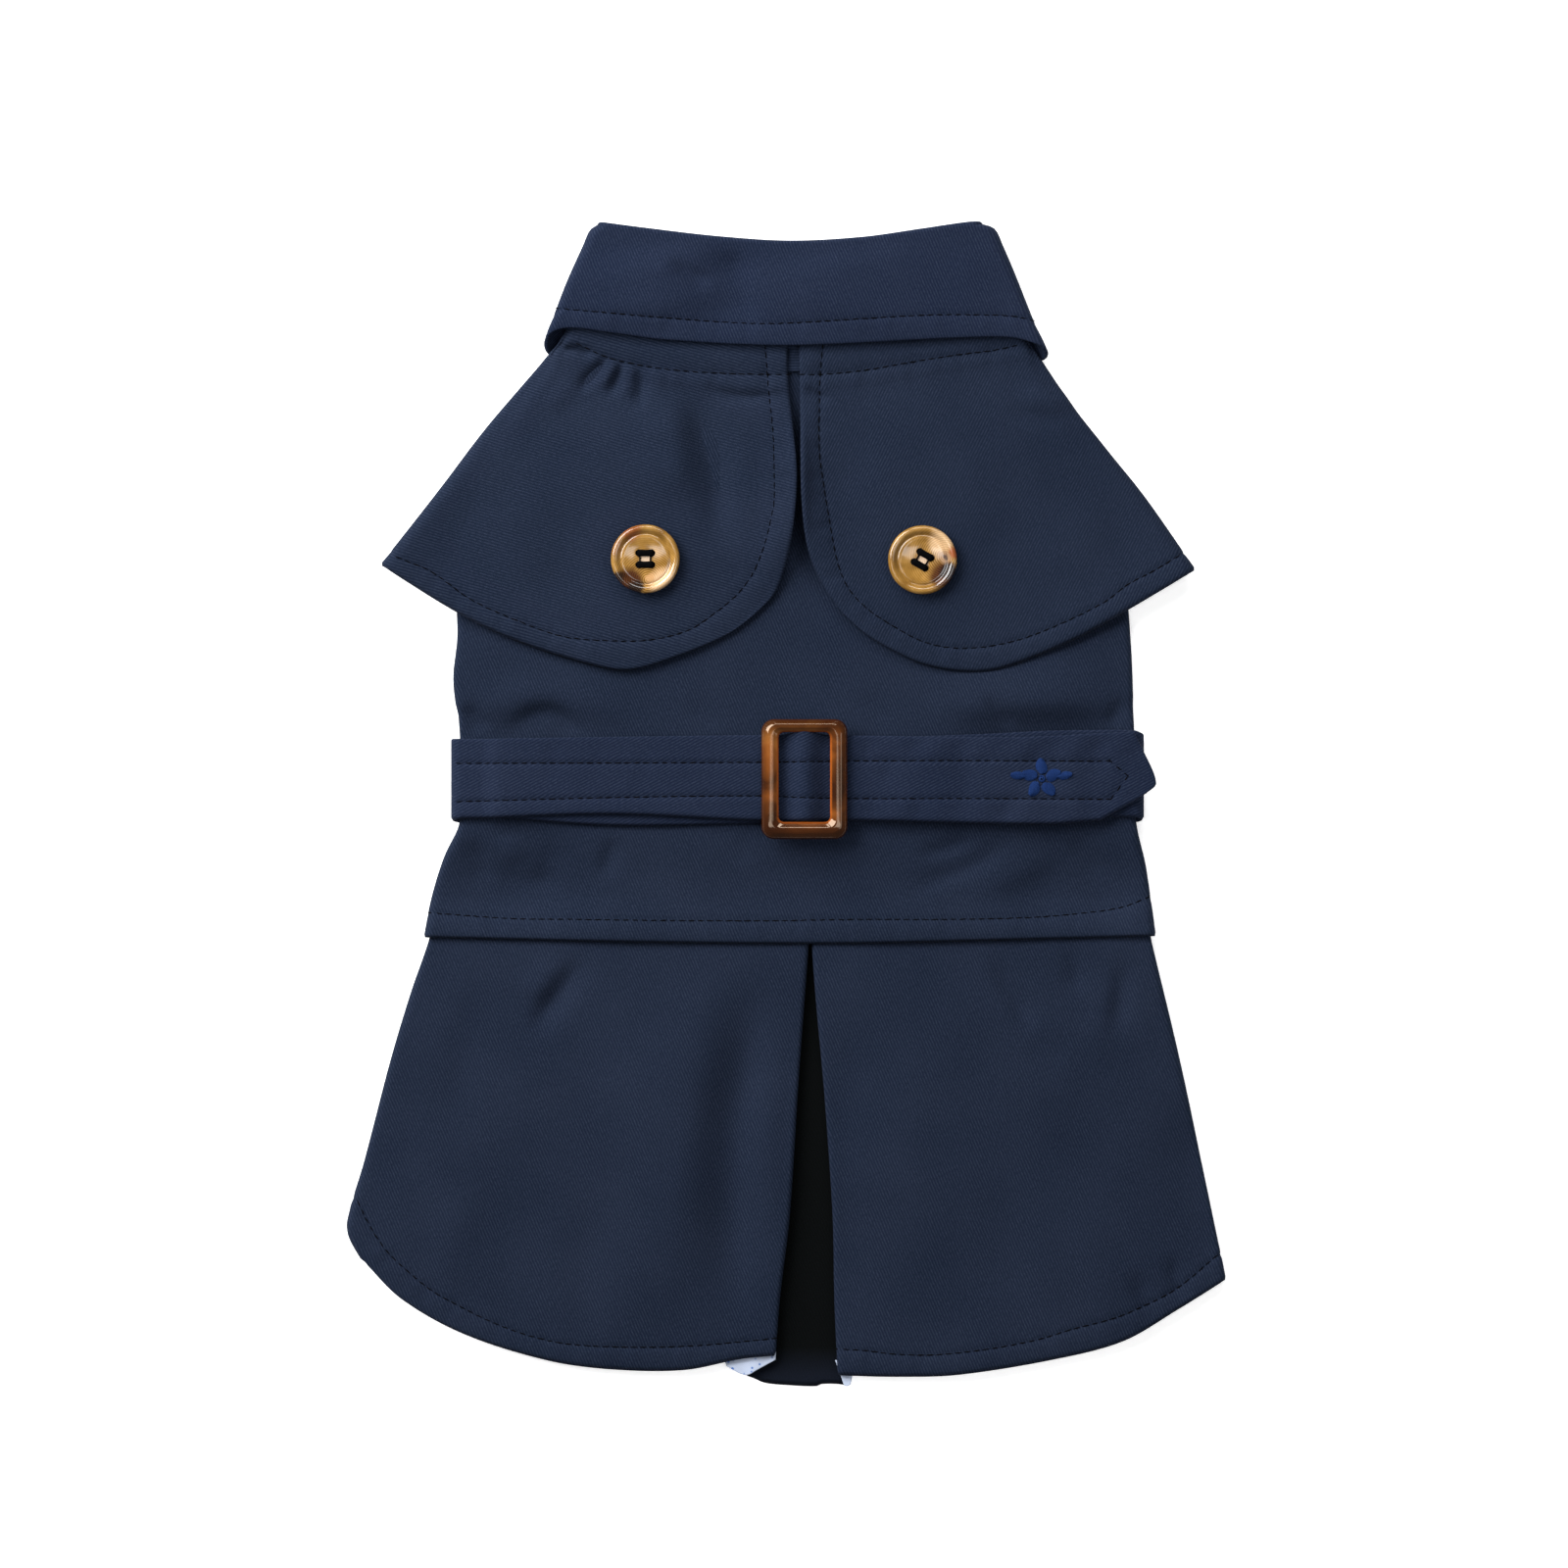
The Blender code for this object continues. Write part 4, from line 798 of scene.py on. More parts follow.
DOUBLE = 1.2
CAPE_L = {
    "neck": [(-62.8, 140.6), (-50.4, 140.0), (-35.1, 138.4), (-16.0, 137.0), (0.2, 136.4)],
    "side": [(-62.8, 140.6), (-65.2, 135.4), (-70.6, 128.6), (-77.6, 120.5), (-87.9, 108.4), (-100.6, 91.8),
             (-118.1, 69.4)],
    "hem": [(-118.1, 69.4), (-96.0, 55.7), (-78.7, 47.3), (-58.0, 40.6), (-46.5, 38.7), (-33.3, 42.2),
            (-17.7, 48.8), (-9.7, 54.7)],
    "centre": [(0.2, 136.4), (0.3, 124.2), (1.6, 111.0), (2.8, 97.9), (2.6, 88.5), (1.6, 78.8), (-0.6, 68.5),
               (-3.6, 61.0), (-9.7, 54.7)],
    "stitch": [(-6.5, 135.6), (-5.4, 120.7), (-4.1, 108.4), (-3.7, 96.2), (-3.8, 87.1), (-4.6, 83.1),
               (-6.3, 76.0), (-9.7, 67.4), (-14.5, 60.8), (-21.9, 54.7), (-28.9, 50.3), (-39.3, 47.7),
               (-49.0, 47.3), (-64.7, 48.6), (-78.7, 53.4), (-91.8, 59.4), (-103.2, 67.4), (-112.6, 71.4)],
}
CAPE_R = {
    "neck": [(3.4, 136.4), (21.7, 137.2), (47.3, 138.4), (68.0, 138.8)],
    "side": [(68.0, 138.8), (69.8, 134.6), (74.6, 127.6), (82.1, 116.4), (92.1, 103.9), (104.3, 88.8),
             (118.7, 68.0)],
    "hem": [(16.0, 55.4), (23.7, 48.6), (32.8, 43.4), (40.2, 40.3), (51.0, 38.4), (62.0, 39.2), (82.1, 47.0),
            (99.2, 56.4), (118.7, 68.0)],
    "centre": [(3.4, 136.4), (3.7, 124.2), (4.0, 101.0), (4.4, 87.1), (6.0, 74.2), (10.4, 63.6),
               (16.0, 55.4)],
    "stitch": [(10.7, 135.6), (9.7, 125.5), (9.4, 116.4), (9.4, 102.2), (10.5, 93.6), (12.3, 82.2),
               (14.8, 69.7), (17.7, 62.8), (22.8, 57.1), (30.2, 52.0), (40.2, 46.9), (51.0, 45.2),
               (64.4, 46.9), (76.9, 51.2), (92.1, 58.6), (98.9, 63.7), (105.4, 67.1), (113.0, 71.6)],
}
BUTTONS = {"left": (-41.1, 71.1, 0.0), "right": (39.3, 70.8, -30.0)}  # x, y, turn in degrees
CAPE_SIDE = (3.4, 6.8)  # how high the folded side is at the neck and at its lower corner
CAPE_LIFT = 1.45  # from the body's cloth up to the flap's
CAPE_CROWN = 1.2
CAPE_GAP = 3.3  # where the flaps meet
NECK_LEVEL = 127.6  # where the flap's folded side starts, below the collar
NECK_STITCHES = [
    [(-60.4, 133.4), (-57.6, 132.1), (-53.3, 130.1), (-47.6, 128.4), (-34.2, 126.1), (-18.0, 125.0),
     (-5.7, 124.7), (0.2, 124.7)],
    [(4.4, 124.7), (9.7, 124.7), (21.7, 125.8), (35.1, 128.1), (47.3, 130.1), (60.4, 131.8), (66.0, 133.0)],
]
CAPE_CREASES = [
    ([(-67.5, 131.6), (-63.0, 132.4), (-59.3, 131.5), (-55.0, 129.7)], -1.9, 1.3, 1.7),
    ([(-51.0, 130.8), (-53.9, 127.0), (-56.1, 124.5), (-61.4, 119.0)], -2.1, 1.5, 2.2),
    ([(-49.4, 129.6), (-51.4, 125.6), (-54.4, 120.0)], 0.9, 1.4, 1.4),
    ([(-47.0, 129.8), (-48.5, 125.3), (-51.8, 117.0)], -1.6, 1.5, 2.0),
    ([(-45.0, 128.4), (-45.6, 122.6), (-46.8, 117.0)], 0.6, 1.6, 1.6),
    ([(-42.4, 128.6), (-42.2, 122.1), (-43.0, 113.0)], -1.3, 1.8, 2.4),
    ([(-37.6, 128.0), (-37.0, 122.0), (-36.0, 117.0)], 0.4, 2.0, 2.0),
    ([(-60.0, 125.0), (-65.0, 119.4), (-71.0, 113.0)], 0.5, 3.0, 3.0),
    ([(-31.0, 124.0), (-28.0, 117.0), (-25.0, 110.0), (-22.0, 103.0), (-20.6, 94.0), (-20.0, 84.0),
      (-20.6, 70.0)], -2.6, 5.6, 5.4),
    ([(-36.0, 121.0), (-33.0, 104.0), (-33.0, 84.0)], 1.9, 5.4, 10.0),
    ([(-117.0, 68.0), (-104.0, 61.0), (-92.0, 54.0), (-78.0, 47.0), (-60.0, 41.0)], 1.1, 15.0, 9.0),
    ([(58.0, 41.0), (78.0, 47.0), (92.0, 53.0), (106.0, 61.0), (121.0, 69.0)], 1.1, 15.0, 9.0),
    ([(-25.0, 121.8), (-16.6, 118.8), (-8.4, 118.4), (0.6, 119.6)], -1.2, 1.5, 2.4),
    ([(0.6, 119.0), (2.2, 104.0), (2.6, 92.0), (1.6, 80.0), (-0.8, 70.0), (-5.6, 60.0)], 3.2, 3.2, 7.0),
    ([(-88.0, 90.0), (-80.0, 74.0), (-76.0, 60.0)], 0.6, 8.0, 8.0),
    ([(-62.0, 92.0), (-66.0, 74.0), (-64.0, 56.0)], -0.5, 7.0, 7.0),
    ([(66.0, 119.2), (74.0, 117.4), (84.0, 114.6)], 0.7, 3.4, 3.4),
    ([(62.0, 115.0), (72.0, 112.4), (82.0, 109.6)], -0.6, 3.0, 3.0),
    ([(3.6, 121.6), (7.6, 119.6), (13.6, 116.6)], -0.9, 1.6, 1.8),
    ([(4.0, 121.0), (4.2, 96.0), (5.6, 80.0), (8.8, 64.0)], 2.2, 6.0, 3.0),
    ([(58.0, 104.0), (64.0, 86.0), (62.0, 66.0)], -0.5, 8.0, 8.0),
    ([(92.0, 92.0), (84.0, 76.0), (82.0, 60.0)], 0.6, 8.0, 8.0),
    ([(24.0, 118.0), (20.0, 100.0), (20.0, 84.0)], -0.6, 6.0, 6.0),
]


def cape_height(x, y):
    """A flap: on the body, crowned round its button, and down to its folded side beyond the body."""
    x, y = np.broadcast_arrays(np.asarray(x, float), np.asarray(y, float))
    total = np.zeros(x.shape)
    for shape, body, button, part in (
        (CAPE_L, BODY_LEFT, BUTTONS["left"], x < CAPE_GAP),
        (CAPE_R, BODY_RIGHT, BUTTONS["right"], x >= CAPE_GAP),
    ):
        edge = shape["side"]
        side = crossing(edge, np.maximum(y, edge[-1][1]))
        beyond = np.abs(side - crossing(body, y))
        down = smooth((NECK_LEVEL - y) / (NECK_LEVEL - edge[-1][1]))
        folded = mix(*CAPE_SIDE, down)
        on_body = smooth(np.abs(x - side) / np.maximum(beyond, 2.5))
        off = np.hypot(x - button[0], y - button[1] - 8.0)
        crown = CAPE_CROWN * np.maximum(0.0, 1 - (off / 42.0) ** 2)
        on_stand = 0.55 * smooth((y - 124.0 - (x / 24.0) ** 2) / 5.0)  # over the collar's stand
        height = mix(folded, body_height(x, y) + CAPE_LIFT, on_body) + crown + on_stand
        total = np.where(part, height, total)
    return total


def flap_height(shape, seam, button, outside):
    """A flap's height with its creases, pressed down round the button and stitched."""
    def height(x, y, u, v):
        uneven = relief(x, y, CAPE_CREASES) + drift(x, y, 3.1, 0.12)
        pressed = -0.35 * np.exp(-((np.hypot(x - button[0], y - button[1]) / 11.0) ** 4))
        rows = sewn(x, y, seam, -1, 5.0) + sewn(x, y, shape["stitch"], outside)
        return cape_height(x, y) + uneven + pressed + rows
    return height


def flap_turn(shape, body):
    """How far a flap's folded side goes back below it, to just short of the body, and at what height."""
    def turn(v):
        place = along(shape["side"], v[:, 0])
        reach = np.abs(place[:, :1] - crossing(body, place[:, 1:]))
        above = smooth((place[:, 1:] - NECK_LEVEL + 1.0) / 5.0)
        lift = 1.6 * smooth(v * 2 - 1) + 0.3 * (1 - smooth(v * 6)) + 2.2 * above
        return np.clip(reach - 5.0, 1.0, 18.0), DOUBLE / 2 + lift
    return turn


CAPE_DOWN = stations(98.0, 1.0, CLOSE, (10.0, 15.0, 0.6), (85.0, 94.0, 0.55), (97.4, 98.0, 0.14))
for name, shape, body, seam, grain in (
    ("left", CAPE_L, BODY_LEFT, NECK_STITCHES[0], -16), ("right", CAPE_R, BODY_RIGHT, NECK_STITCHES[1], 64),
):
    to_centre = stations(100.0, 1.05, (91.0, 95.5, 0.55), (99.4, 100.0, 0.14))
    is_left = name == "left"
    sides = (shape["side"], shape["centre"]) if is_left else (shape["centre"], shape["side"])
    turn = flap_turn(shape, body)
    grid, flat = panel(
        (shape["neck"], shape["hem"], *sides), to_centre if is_left else 1 - to_centre[::-1], CAPE_DOWN,
        flap_height(shape, seam, BUTTONS[name], 1 if is_left else -1), DOUBLE,
        turn if is_left else None, None if is_left else turn,
    )
    cape = shell(f"cape_flap_{name}", grid, flat, DOUBLE, grain, NAVY_TWILL)
    show(cape, "navy_twill", f"cape_{name}")
    rows = sew(f"cape_stitches_{name}", cape, shape["stitch"], seam)

# ------------------------------------------------------------------------------------------- collar
# The collar is two pieces: a stand of twill sewn up from the neck seam, and a fall of two layers that rolls
# over the stand's top and lies down on the back. Both run round the sides to the front, underneath.

STAND = {
    "top": [(-51.5, 160.9), (-40.0, 162.0), (0.9, 159.6), (40.0, 161.9), (55.0, 160.9)],
    "seam": [(-63.3, 134.4), (-57.6, 132.9), (-47.6, 129.2), (-34.2, 126.9), (-16.0, 125.8), (0.9, 125.5),
             (21.7, 126.6), (35.1, 128.9), (47.3, 130.9), (66.3, 133.9)],
    "left": [(-51.5, 160.9), (-57.5, 148.0), (-63.3, 134.4)],
    "right": [(55.0, 160.9), (60.3, 148.0), (66.3, 133.9)],
}
STAND_HIGH = 4.45  # its upper side lies under the flaps
STAND_LOW = 1.85
grid, flat = panel(
    (STAND["top"], STAND["seam"], STAND["left"], STAND["right"]), stations(115.0, 1.4),
    stations(32.0, 1.6, CLOSE, (24.0, 31.4, 0.6), (31.4, 32.0, 0.14)),
    lambda x, y, u, v: STAND_HIGH + 0.6 * (1 - smooth(v * 2)) + 0 * x + 0 * y, CLOTH,
    lambda v: (50.0, STAND_LOW), lambda v: (50.0, STAND_LOW),
)
stand = show(shell("neck_stand", grid, flat, CLOTH, 0, NAVY_TWILL), "navy_twill", "collar_stand")

FALL = {
    "fold": [(-55.2, 169.2), (-53.0, 168.9), (-40.8, 167.3), (-20.0, 164.9), (0.9, 163.6), (21.9, 164.7),
             (39.0, 167.1), (52.0, 169.0), (57.0, 169.3)],
    "left": [(-55.2, 169.2), (-57.4, 166.6), (-59.3, 162.6), (-63.3, 154.0), (-67.6, 143.6), (-70.5, 136.2)],
    "right": [(57.0, 169.3), (60.6, 166.8), (62.6, 162.8), (66.4, 154.0), (71.0, 142.6), (75.9, 132.2)],
    "hem": [(-70.5, 136.2), (-63.6, 138.1), (-50.4, 136.6), (-35.1, 134.6), (0.3, 133.0), (50.4, 135.2),
            (65.8, 135.2), (75.9, 132.2)],
    "stitch": [(-66.4, 143.8), (-37.3, 141.2), (-12.0, 139.5), (0.3, 139.5), (40.2, 141.8), (56.4, 141.9),
               (65.8, 141.5), (71.0, 140.4)],
}
FALL_HIGH = 6.3
FALL_CROWN = 1.25
FALL_ROLL = 0.7
FALL_TURN = 46.0
FALL_DROP = (7.0, 4.2)
FALL_CREASES = [
    ([(-17.4, 166.0), (-15.0, 152.0), (-13.0, 143.0), (-12.0, 134.0)], -2.3, 5.0, 12.0),
    ([(14.0, 164.0), (16.0, 150.0), (14.0, 136.0)], 1.2, 24.0, 22.0),
    ([(-40.0, 164.0), (-38.0, 150.0), (-36.0, 136.0)], 1.9, 14.0, 22.0),
    ([(-35.0, 158.4), (-29.4, 154.6), (-21.0, 150.0)], -1.2, 2.2, 2.8),
    ([(22.0, 161.0), (24.0, 150.0), (23.0, 138.0)], -0.25, 6.0, 7.0),
    ([(4.0, 160.0), (5.0, 148.0), (4.0, 136.0)], 0.25, 8.0, 8.0),
    ([(50.0, 163.0), (53.0, 152.0), (55.0, 140.0)], 0.3, 6.0, 5.0),
]


def fall_rows(angle, shares):
    """Rows of the fall at an angle round its roll over the stand: pi at the start, 0 on top."""
    shrink = FALL_ROLL * (1 - math.cos(angle))
    back = FALL_ROLL * (1 - math.sin(angle)) + DOUBLE / 2

    def height(x, y, u, v):
        lift = FALL_CROWN * smooth(v * 1.3) * np.sin(math.pi * np.clip(u, 0.0, 1.0)) ** 0.6
        uneven = relief(x, y, FALL_CREASES) + drift(x, y, 4.4, 0.07) + sewn(x, y, FALL["stitch"], -1)
        return FALL_HIGH - shrink + lift + smooth(v * 4) * uneven

    def turn(v):
        return FALL_TURN - shrink, DOUBLE / 2 + shrink

    fold = [(x, y - back) for x, y in FALL["fold"]]
    left = [(fold[0][0] + shrink, fold[0][1]), *FALL["left"][1:]]
    right = [(fold[-1][0] - shrink, fold[-1][1]), *FALL["right"][1:]]
    edges = ([left[0], *fold[1:-1], right[0]], FALL["hem"], left, right)
    return panel(edges, stations(132.0, 1.2), shares, height, DOUBLE, turn, turn, FALL_DROP, arc=14)


fall_down = stations(32.0, 0.95, (21.0, 26.5, 0.5), (31.4, 32.0, 0.14))
parts = [fall_rows(angle, [0.0]) for angle in math.pi * (1 - np.linspace(0.0, 1.0, 10)[:-1])]
parts.append(fall_rows(0.0, fall_down))
grid, flat = (np.vstack([part[k] for part in parts]) for k in (0, 1))
# Painted light: a copy of the navy twill a little lighter, for the brighter look of the collar's fall and the
# belt
PAINTED_LIGHTER_TWILL = twill("navy cotton twill, painted lighter", "#071123", "#293042")
fall = shell("collar_turned_down", grid, flat, DOUBLE, RIB_TURN, PAINTED_LIGHTER_TWILL)
show(fall, "navy_twill", "collar_fall")
fall_stitches = sew("collar_stitches", fall, FALL["stitch"])

# ------------------------------------------------------------------------------------------- belt
# A belt of two layers of twill round the waist, in two strips. The pointed end comes from the left, goes
# through the slide and lies on the sewn end, which starts below it and runs on round the right side.

BELT_TOP_EDGE = [(-90.0, 18.9), (-50.2, 19.5), (-7.4, 20.0), (17.4, 19.9), (67.8, 19.5), (91.0, 20.6)]
BELT_LOW_EDGE = [(-90.0, -4.3), (-50.2, -3.1), (-7.7, -5.0), (17.4, -4.9), (74.1, -6.0), (91.0, -4.9)]
BELT_TIP = [(100.6, 21.0), (103.4, 15.5), (107.1, 6.0), (104.0, 2.9)]
UNDER_TOP_EDGE = [(-82.0, 17.2), (-7.4, 18.4), (55.6, 20.3), (75.8, 21.3), (96.0, 21.6)]
UNDER_LOW_EDGE = [(-82.0, -4.2), (-50.2, -6.4), (-13.4, -5.9), (17.4, -5.2), (96.0, -3.8)]
BELT_STITCHES = [
    [(-95.0, 11.8), (-50.0, 11.9), (-9.0, 12.1), (5.0, 12.3), (18.6, 12.5), (60.0, 12.6), (93.4, 12.4)],
    [(93.9, 12.4), (98.6, 8.4)],
    [(98.4, 7.4), (94.2, 1.8)],
    [(93.4, 1.4), (60.0, 1.6), (18.6, 1.6), (5.0, 1.9), (-9.0, 2.4), (-50.0, 1.9), (-95.0, 0.7)],
]
BELT_LAYER = 6.2
BELT_HIGH = 7.82
BELT_OVER_BAR = 3.0  # how far it rises over the slide's middle bar
BELT_FOLD = (BELT_LAYER - DOUBLE / 2) / 2
BELT_SIDES = (-97.6, 103.7)  # how far out the belt goes round the dress
BELT_UNDER = 92.0  # from where its two ends meet underneath, out to both sides
SLIDE_AT = (5.05, 7.2)
BELT_CREASES = [
    ([(-70.0, 20.5), (-67.0, 13.0), (-69.0, 4.0)], -0.3, 3.0, 4.0),
    ([(-40.0, 20.0), (-42.0, 9.0), (-39.0, -4.0)], -0.25, 4.0, 3.0),
    ([(28.0, 20.0), (30.0, 12.0), (27.0, 3.0)], -0.4, 3.0, 3.0),
    ([(40.0, 20.0), (43.0, 14.0), (41.0, 9.0)], 0.35, 3.0, 3.4),
    ([(50.0, 19.5), (52.0, 10.0), (49.0, -5.0)], -0.45, 3.0, 3.6),
    ([(61.0, 20.0), (63.0, 14.0), (60.0, 8.0)], 0.35, 3.4, 3.0),
    ([(70.0, 19.5), (72.0, 12.0), (70.0, 2.0)], -0.45, 3.0, 3.0),
    ([(80.0, 20.0), (83.0, 12.0), (80.0, -5.0)], 0.35, 3.4, 3.0),
    ([(88.0, 20.5), (90.0, 14.0), (89.0, 6.0)], -0.4, 2.8, 3.0),
    ([(36.0, 4.0), (34.0, -1.0), (36.0, -6.0)], 0.35, 3.0, 3.0),
    ([(62.0, 4.0), (64.0, -1.0), (61.0, -6.0)], -0.4, 3.0, 3.0),
]


def round_side(x, up, down, sign):
    """Rows of a belt round the side of the dress, from the top of the fold to its foot."""
    angle = np.linspace(0.0, math.pi, 13)
    share = angle / math.pi
    return np.column_stack([
        x + sign * BELT_FOLD * np.sin(angle), mix(up, BELT_EDGES[0], share), mix(down, BELT_EDGES[1], share),
        DOUBLE / 2 + BELT_FOLD * (1 + np.cos(angle)),
    ])


def edge_y(edge, x):
    """Where an edge curve that runs across the dress passes each x."""
    run = along(edge, np.linspace(0.0, 1.0, 240))
    return np.interp(x, run[:, 0], run[:, 1])


def strip(name, spine, node, tip=None, creases=()):
    """A belt strip from rows of x, upper y, lower y and height, with its point, creases and grooves."""
    across = stations(24.0, 0.95, CLOSE, (5.5, 8.5, 0.5), (16.0, 19.0, 0.5), (23.4, 24.0, 0.14))
    x = spine[:, :1] + 0 * across
    y = mix(spine[:, 1:2], spine[:, 2:3], across[None, :])
    z = spine[:, 3:4] + 0 * across
    if tip is not None:
        end = along(tip, across)
        for share in np.concatenate([np.linspace(0.08, 0.96, 14), [0.98, 0.992, 1.0]]):
            x = np.vstack([x, mix(spine[-1, 0], end[:, 0], share)])
            y = np.vstack([y, mix(mix(spine[-1, 1], spine[-1, 2], across), end[:, 1], share)])
            z = np.vstack([z, z[-1]])
    x, y, z = x.T, y.T, z.T
    upper = smooth((z - 5.0) / 1.0)
    waves = relief(x, y, creases)
    if creases:
        for row in BELT_STITCHES:
            off, run, _ = beside(row, x, y)
            groove = -0.34 * np.exp(-((off / GROOVE) ** 2))
            waves = waves + groove + 0.06 * np.sin(run * 0.9) * np.exp(-(off / 3) ** 2)
        near_edge = np.exp(-(((np.abs(y - SLIDE_AT[1]) - 9.5) / 3.0) ** 2))
        puckers = 0.28 * np.sin(x / 2.1 + 0.6 * np.sin(y / 4)) * smooth((x - 14.0) / 10.0)
        waves = waves + puckers * near_edge + drift(x, y, 5.2, 0.05)
    z = z + upper * waves
    grid = np.dstack([x, y, z])
    run = np.cumsum(np.insert(np.linalg.norm(np.diff(grid, axis=1), axis=2), 0, 0.0, axis=1), axis=1)
    flat = np.dstack([run, y])
    return show(shell(name, grid, flat, DOUBLE, 27, PAINTED_LIGHTER_TWILL), "navy_twill", node)


laid = mix(BELT_TOP_EDGE[0][0], BELT_TOP_EDGE[-1][0], stations(181.0, 0.95))
raised = mix(BELT_LAYER, BELT_HIGH, smooth((laid - laid[0] - 1.0) / 6.0))
raised += BELT_OVER_BAR * np.cos(math.pi / 2 * np.minimum(1.0, np.abs(laid - SLIDE_AT[0]) / 6.6)) ** 2
under_x = -np.concatenate([[0.15, 0.27, 0.5], np.linspace(0.0, BELT_UNDER, 32)[1:]])
under_run = np.column_stack([
    under_x, BELT_EDGES[0] + 0 * under_x, BELT_EDGES[1] + 0 * under_x, DOUBLE / 2 + 0 * under_x,
])
# The belt's upper edge arches a little in the slide's window
arch = 1.3 * np.cos(math.pi / 2 * np.minimum(1.0, np.abs(laid - SLIDE_AT[0]) / 7.2)) ** 2
top_run = np.column_stack([laid, edge_y(BELT_TOP_EDGE, laid) + arch, edge_y(BELT_LOW_EDGE, laid), raised])
turned = round_side(BELT_SIDES[0] + DOUBLE / 2 + BELT_FOLD, top_run[0, 1], top_run[0, 2], -1)[::-1]
spine = np.vstack([under_run, turned[1:], top_run[1:]])
belt = strip("belt_pointed_end", spine, "belt_upper", BELT_TIP, BELT_CREASES)
belt_rows = sew("belt_stitches", belt, *BELT_STITCHES)

start, end = UNDER_TOP_EDGE[0][0], UNDER_TOP_EDGE[-1][0]
laid = np.concatenate([start + np.array([0.0, 0.12, 0.4]), mix(start + 1.0, end, stations(177.0, 1.6))])
top_run = np.column_stack([
    laid, edge_y(UNDER_TOP_EDGE, laid), edge_y(UNDER_LOW_EDGE, laid), BELT_LAYER + 0 * laid,
])
turned = round_side(BELT_SIDES[1] - DOUBLE / 2 - BELT_FOLD, top_run[-1, 1], top_run[-1, 2], 1)
under_run = under_run[::-1] * (-1.0, 1.0, 1.0, 1.0)
spine = np.vstack([top_run, turned[1:], under_run[under_run[:, 0] < turned[-1, 0]]])
under = strip("belt_sewn_end", spine, "belt_under")

# A small flower worked on the belt's pointed end, in royal blue satin stitch: five petals, a middle and two
# leaves, each of single threads laid side by side across it.

ROYAL_THREAD = thread_material("royal blue rayon thread", "#152850")
FLOWER_AT = (73.8, 7.3)
THREAD_PITCH = 0.34
SATIN_HIGH = 0.42  # how much the threads bulge in the middle of a petal
petals = [(1.5, 72 * k + 90, 4.6, 3.3) for k in range(5)]  # start, direction in degrees, length and width
leaves = [(4.6, 8, 4.6, 2.2), (4.6, 172, 4.6, 2.2)]
spots, edges, bulges = [], [], []
for start, heading, length, width in petals + leaves:
    angle = math.radians(heading)
    for step in np.arange(0.12, length - 0.1, THREAD_PITCH):
        share = step / length
        half = width / 2 * math.sin(math.pi * share ** (0.75 if width > 3 else 1.0)) ** 0.7
        first = len(spots)
        for across in np.linspace(-1.0, 1.0, 7):
            ahead, aside = start + step + 0.25 * across * half, across * half
            spots.append((FLOWER_AT[0] + ahead * math.cos(angle) - aside * math.sin(angle),
                          FLOWER_AT[1] + ahead * math.sin(angle) + aside * math.cos(angle)))
            bulges.append(SATIN_HIGH * (1 - across**2) * MM)
        edges += [(first + k, first + k + 1) for k in range(6)]
for k in range(7):  # the middle, of short turns
    first = len(spots)
    for angle in np.linspace(0, math.pi, 6) + k * 0.9:
        reach = 0.35 + 0.1 * k
        spots.append((FLOWER_AT[0] + reach * math.cos(angle), FLOWER_AT[1] + reach * math.sin(angle)))
        bulges.append((0.35 - 0.03 * k) * MM)
    edges += [(first + k, first + k + 1) for k in range(5)]

thread_tree, given, line = node_group("satin stitch", {"Thread Radius": 0.2 * MM})
ring = add(thread_tree, "GeometryNodeCurvePrimitiveCircle",
           {"Resolution": 6, "Radius": given["Thread Radius"]})
tubes = add(thread_tree, "GeometryNodeCurveToMesh",
            {"Curve": line, "Profile Curve": ring.outputs["Curve"], "Fill Caps": True})
end_group(thread_tree, tubes.outputs[0], given["Thread"])
places = [(x, y, z + bulge) for (x, y, z), bulge in zip(laid_on(belt, spots, 0.02), bulges)]
flower = through_tree("embroidered_flower", thread_tree, places, edges, {"Thread": ROYAL_THREAD})
show(flower, "navy_twill")

# ------------------------------------------------------------------------------------------- slide buckle
# A moulded resin slide with a bar across its middle, in a tortoise look: polished, amber to dark brown. The
# belt passes under its sides and over the middle bar.

SLIDE = {"width": 24.9, "length": 34.8, "thick": 3.4, "side_bar": 5.0, "end_bar": 4.4, "corner": 3.6,
         "inner": 1.6}
SLIDE_LOW = 8.92
MIDDLE_BAR = (1.1, 8.4)  # its radius and height


def rounded_rectangle(width, length, corner, straight=24, bend=10):
    """Points round a rectangle with round corners, from the upper end of its right side."""
    arcs = []
    for quarter, (side_x, side_y) in enumerate(((1, 1), (-1, 1), (-1, -1), (1, -1))):
        angle = math.pi / 2 * (quarter + np.arange(bend + 1) / bend)
        arcs.append(np.column_stack([side_x * (width / 2 - corner) + corner * np.cos(angle),
                                     side_y * (length / 2 - corner) + corner * np.sin(angle)]))
    between = (np.arange(1, straight) / straight)[:, None]
    return np.vstack([
        np.vstack([arc, mix(arc[-1], ahead[0], between)]) for arc, ahead in zip(arcs, arcs[1:] + arcs[:1])
    ])


outer = rounded_rectangle(SLIDE["width"], SLIDE["length"], SLIDE["corner"])
inner = rounded_rectangle(SLIDE["width"] - 2 * SLIDE["side_bar"], SLIDE["length"] - 2 * SLIDE["end_bar"],
                          SLIDE["inner"]) + (0.0, 0.6)  # the bar at the hem's end is the wider one
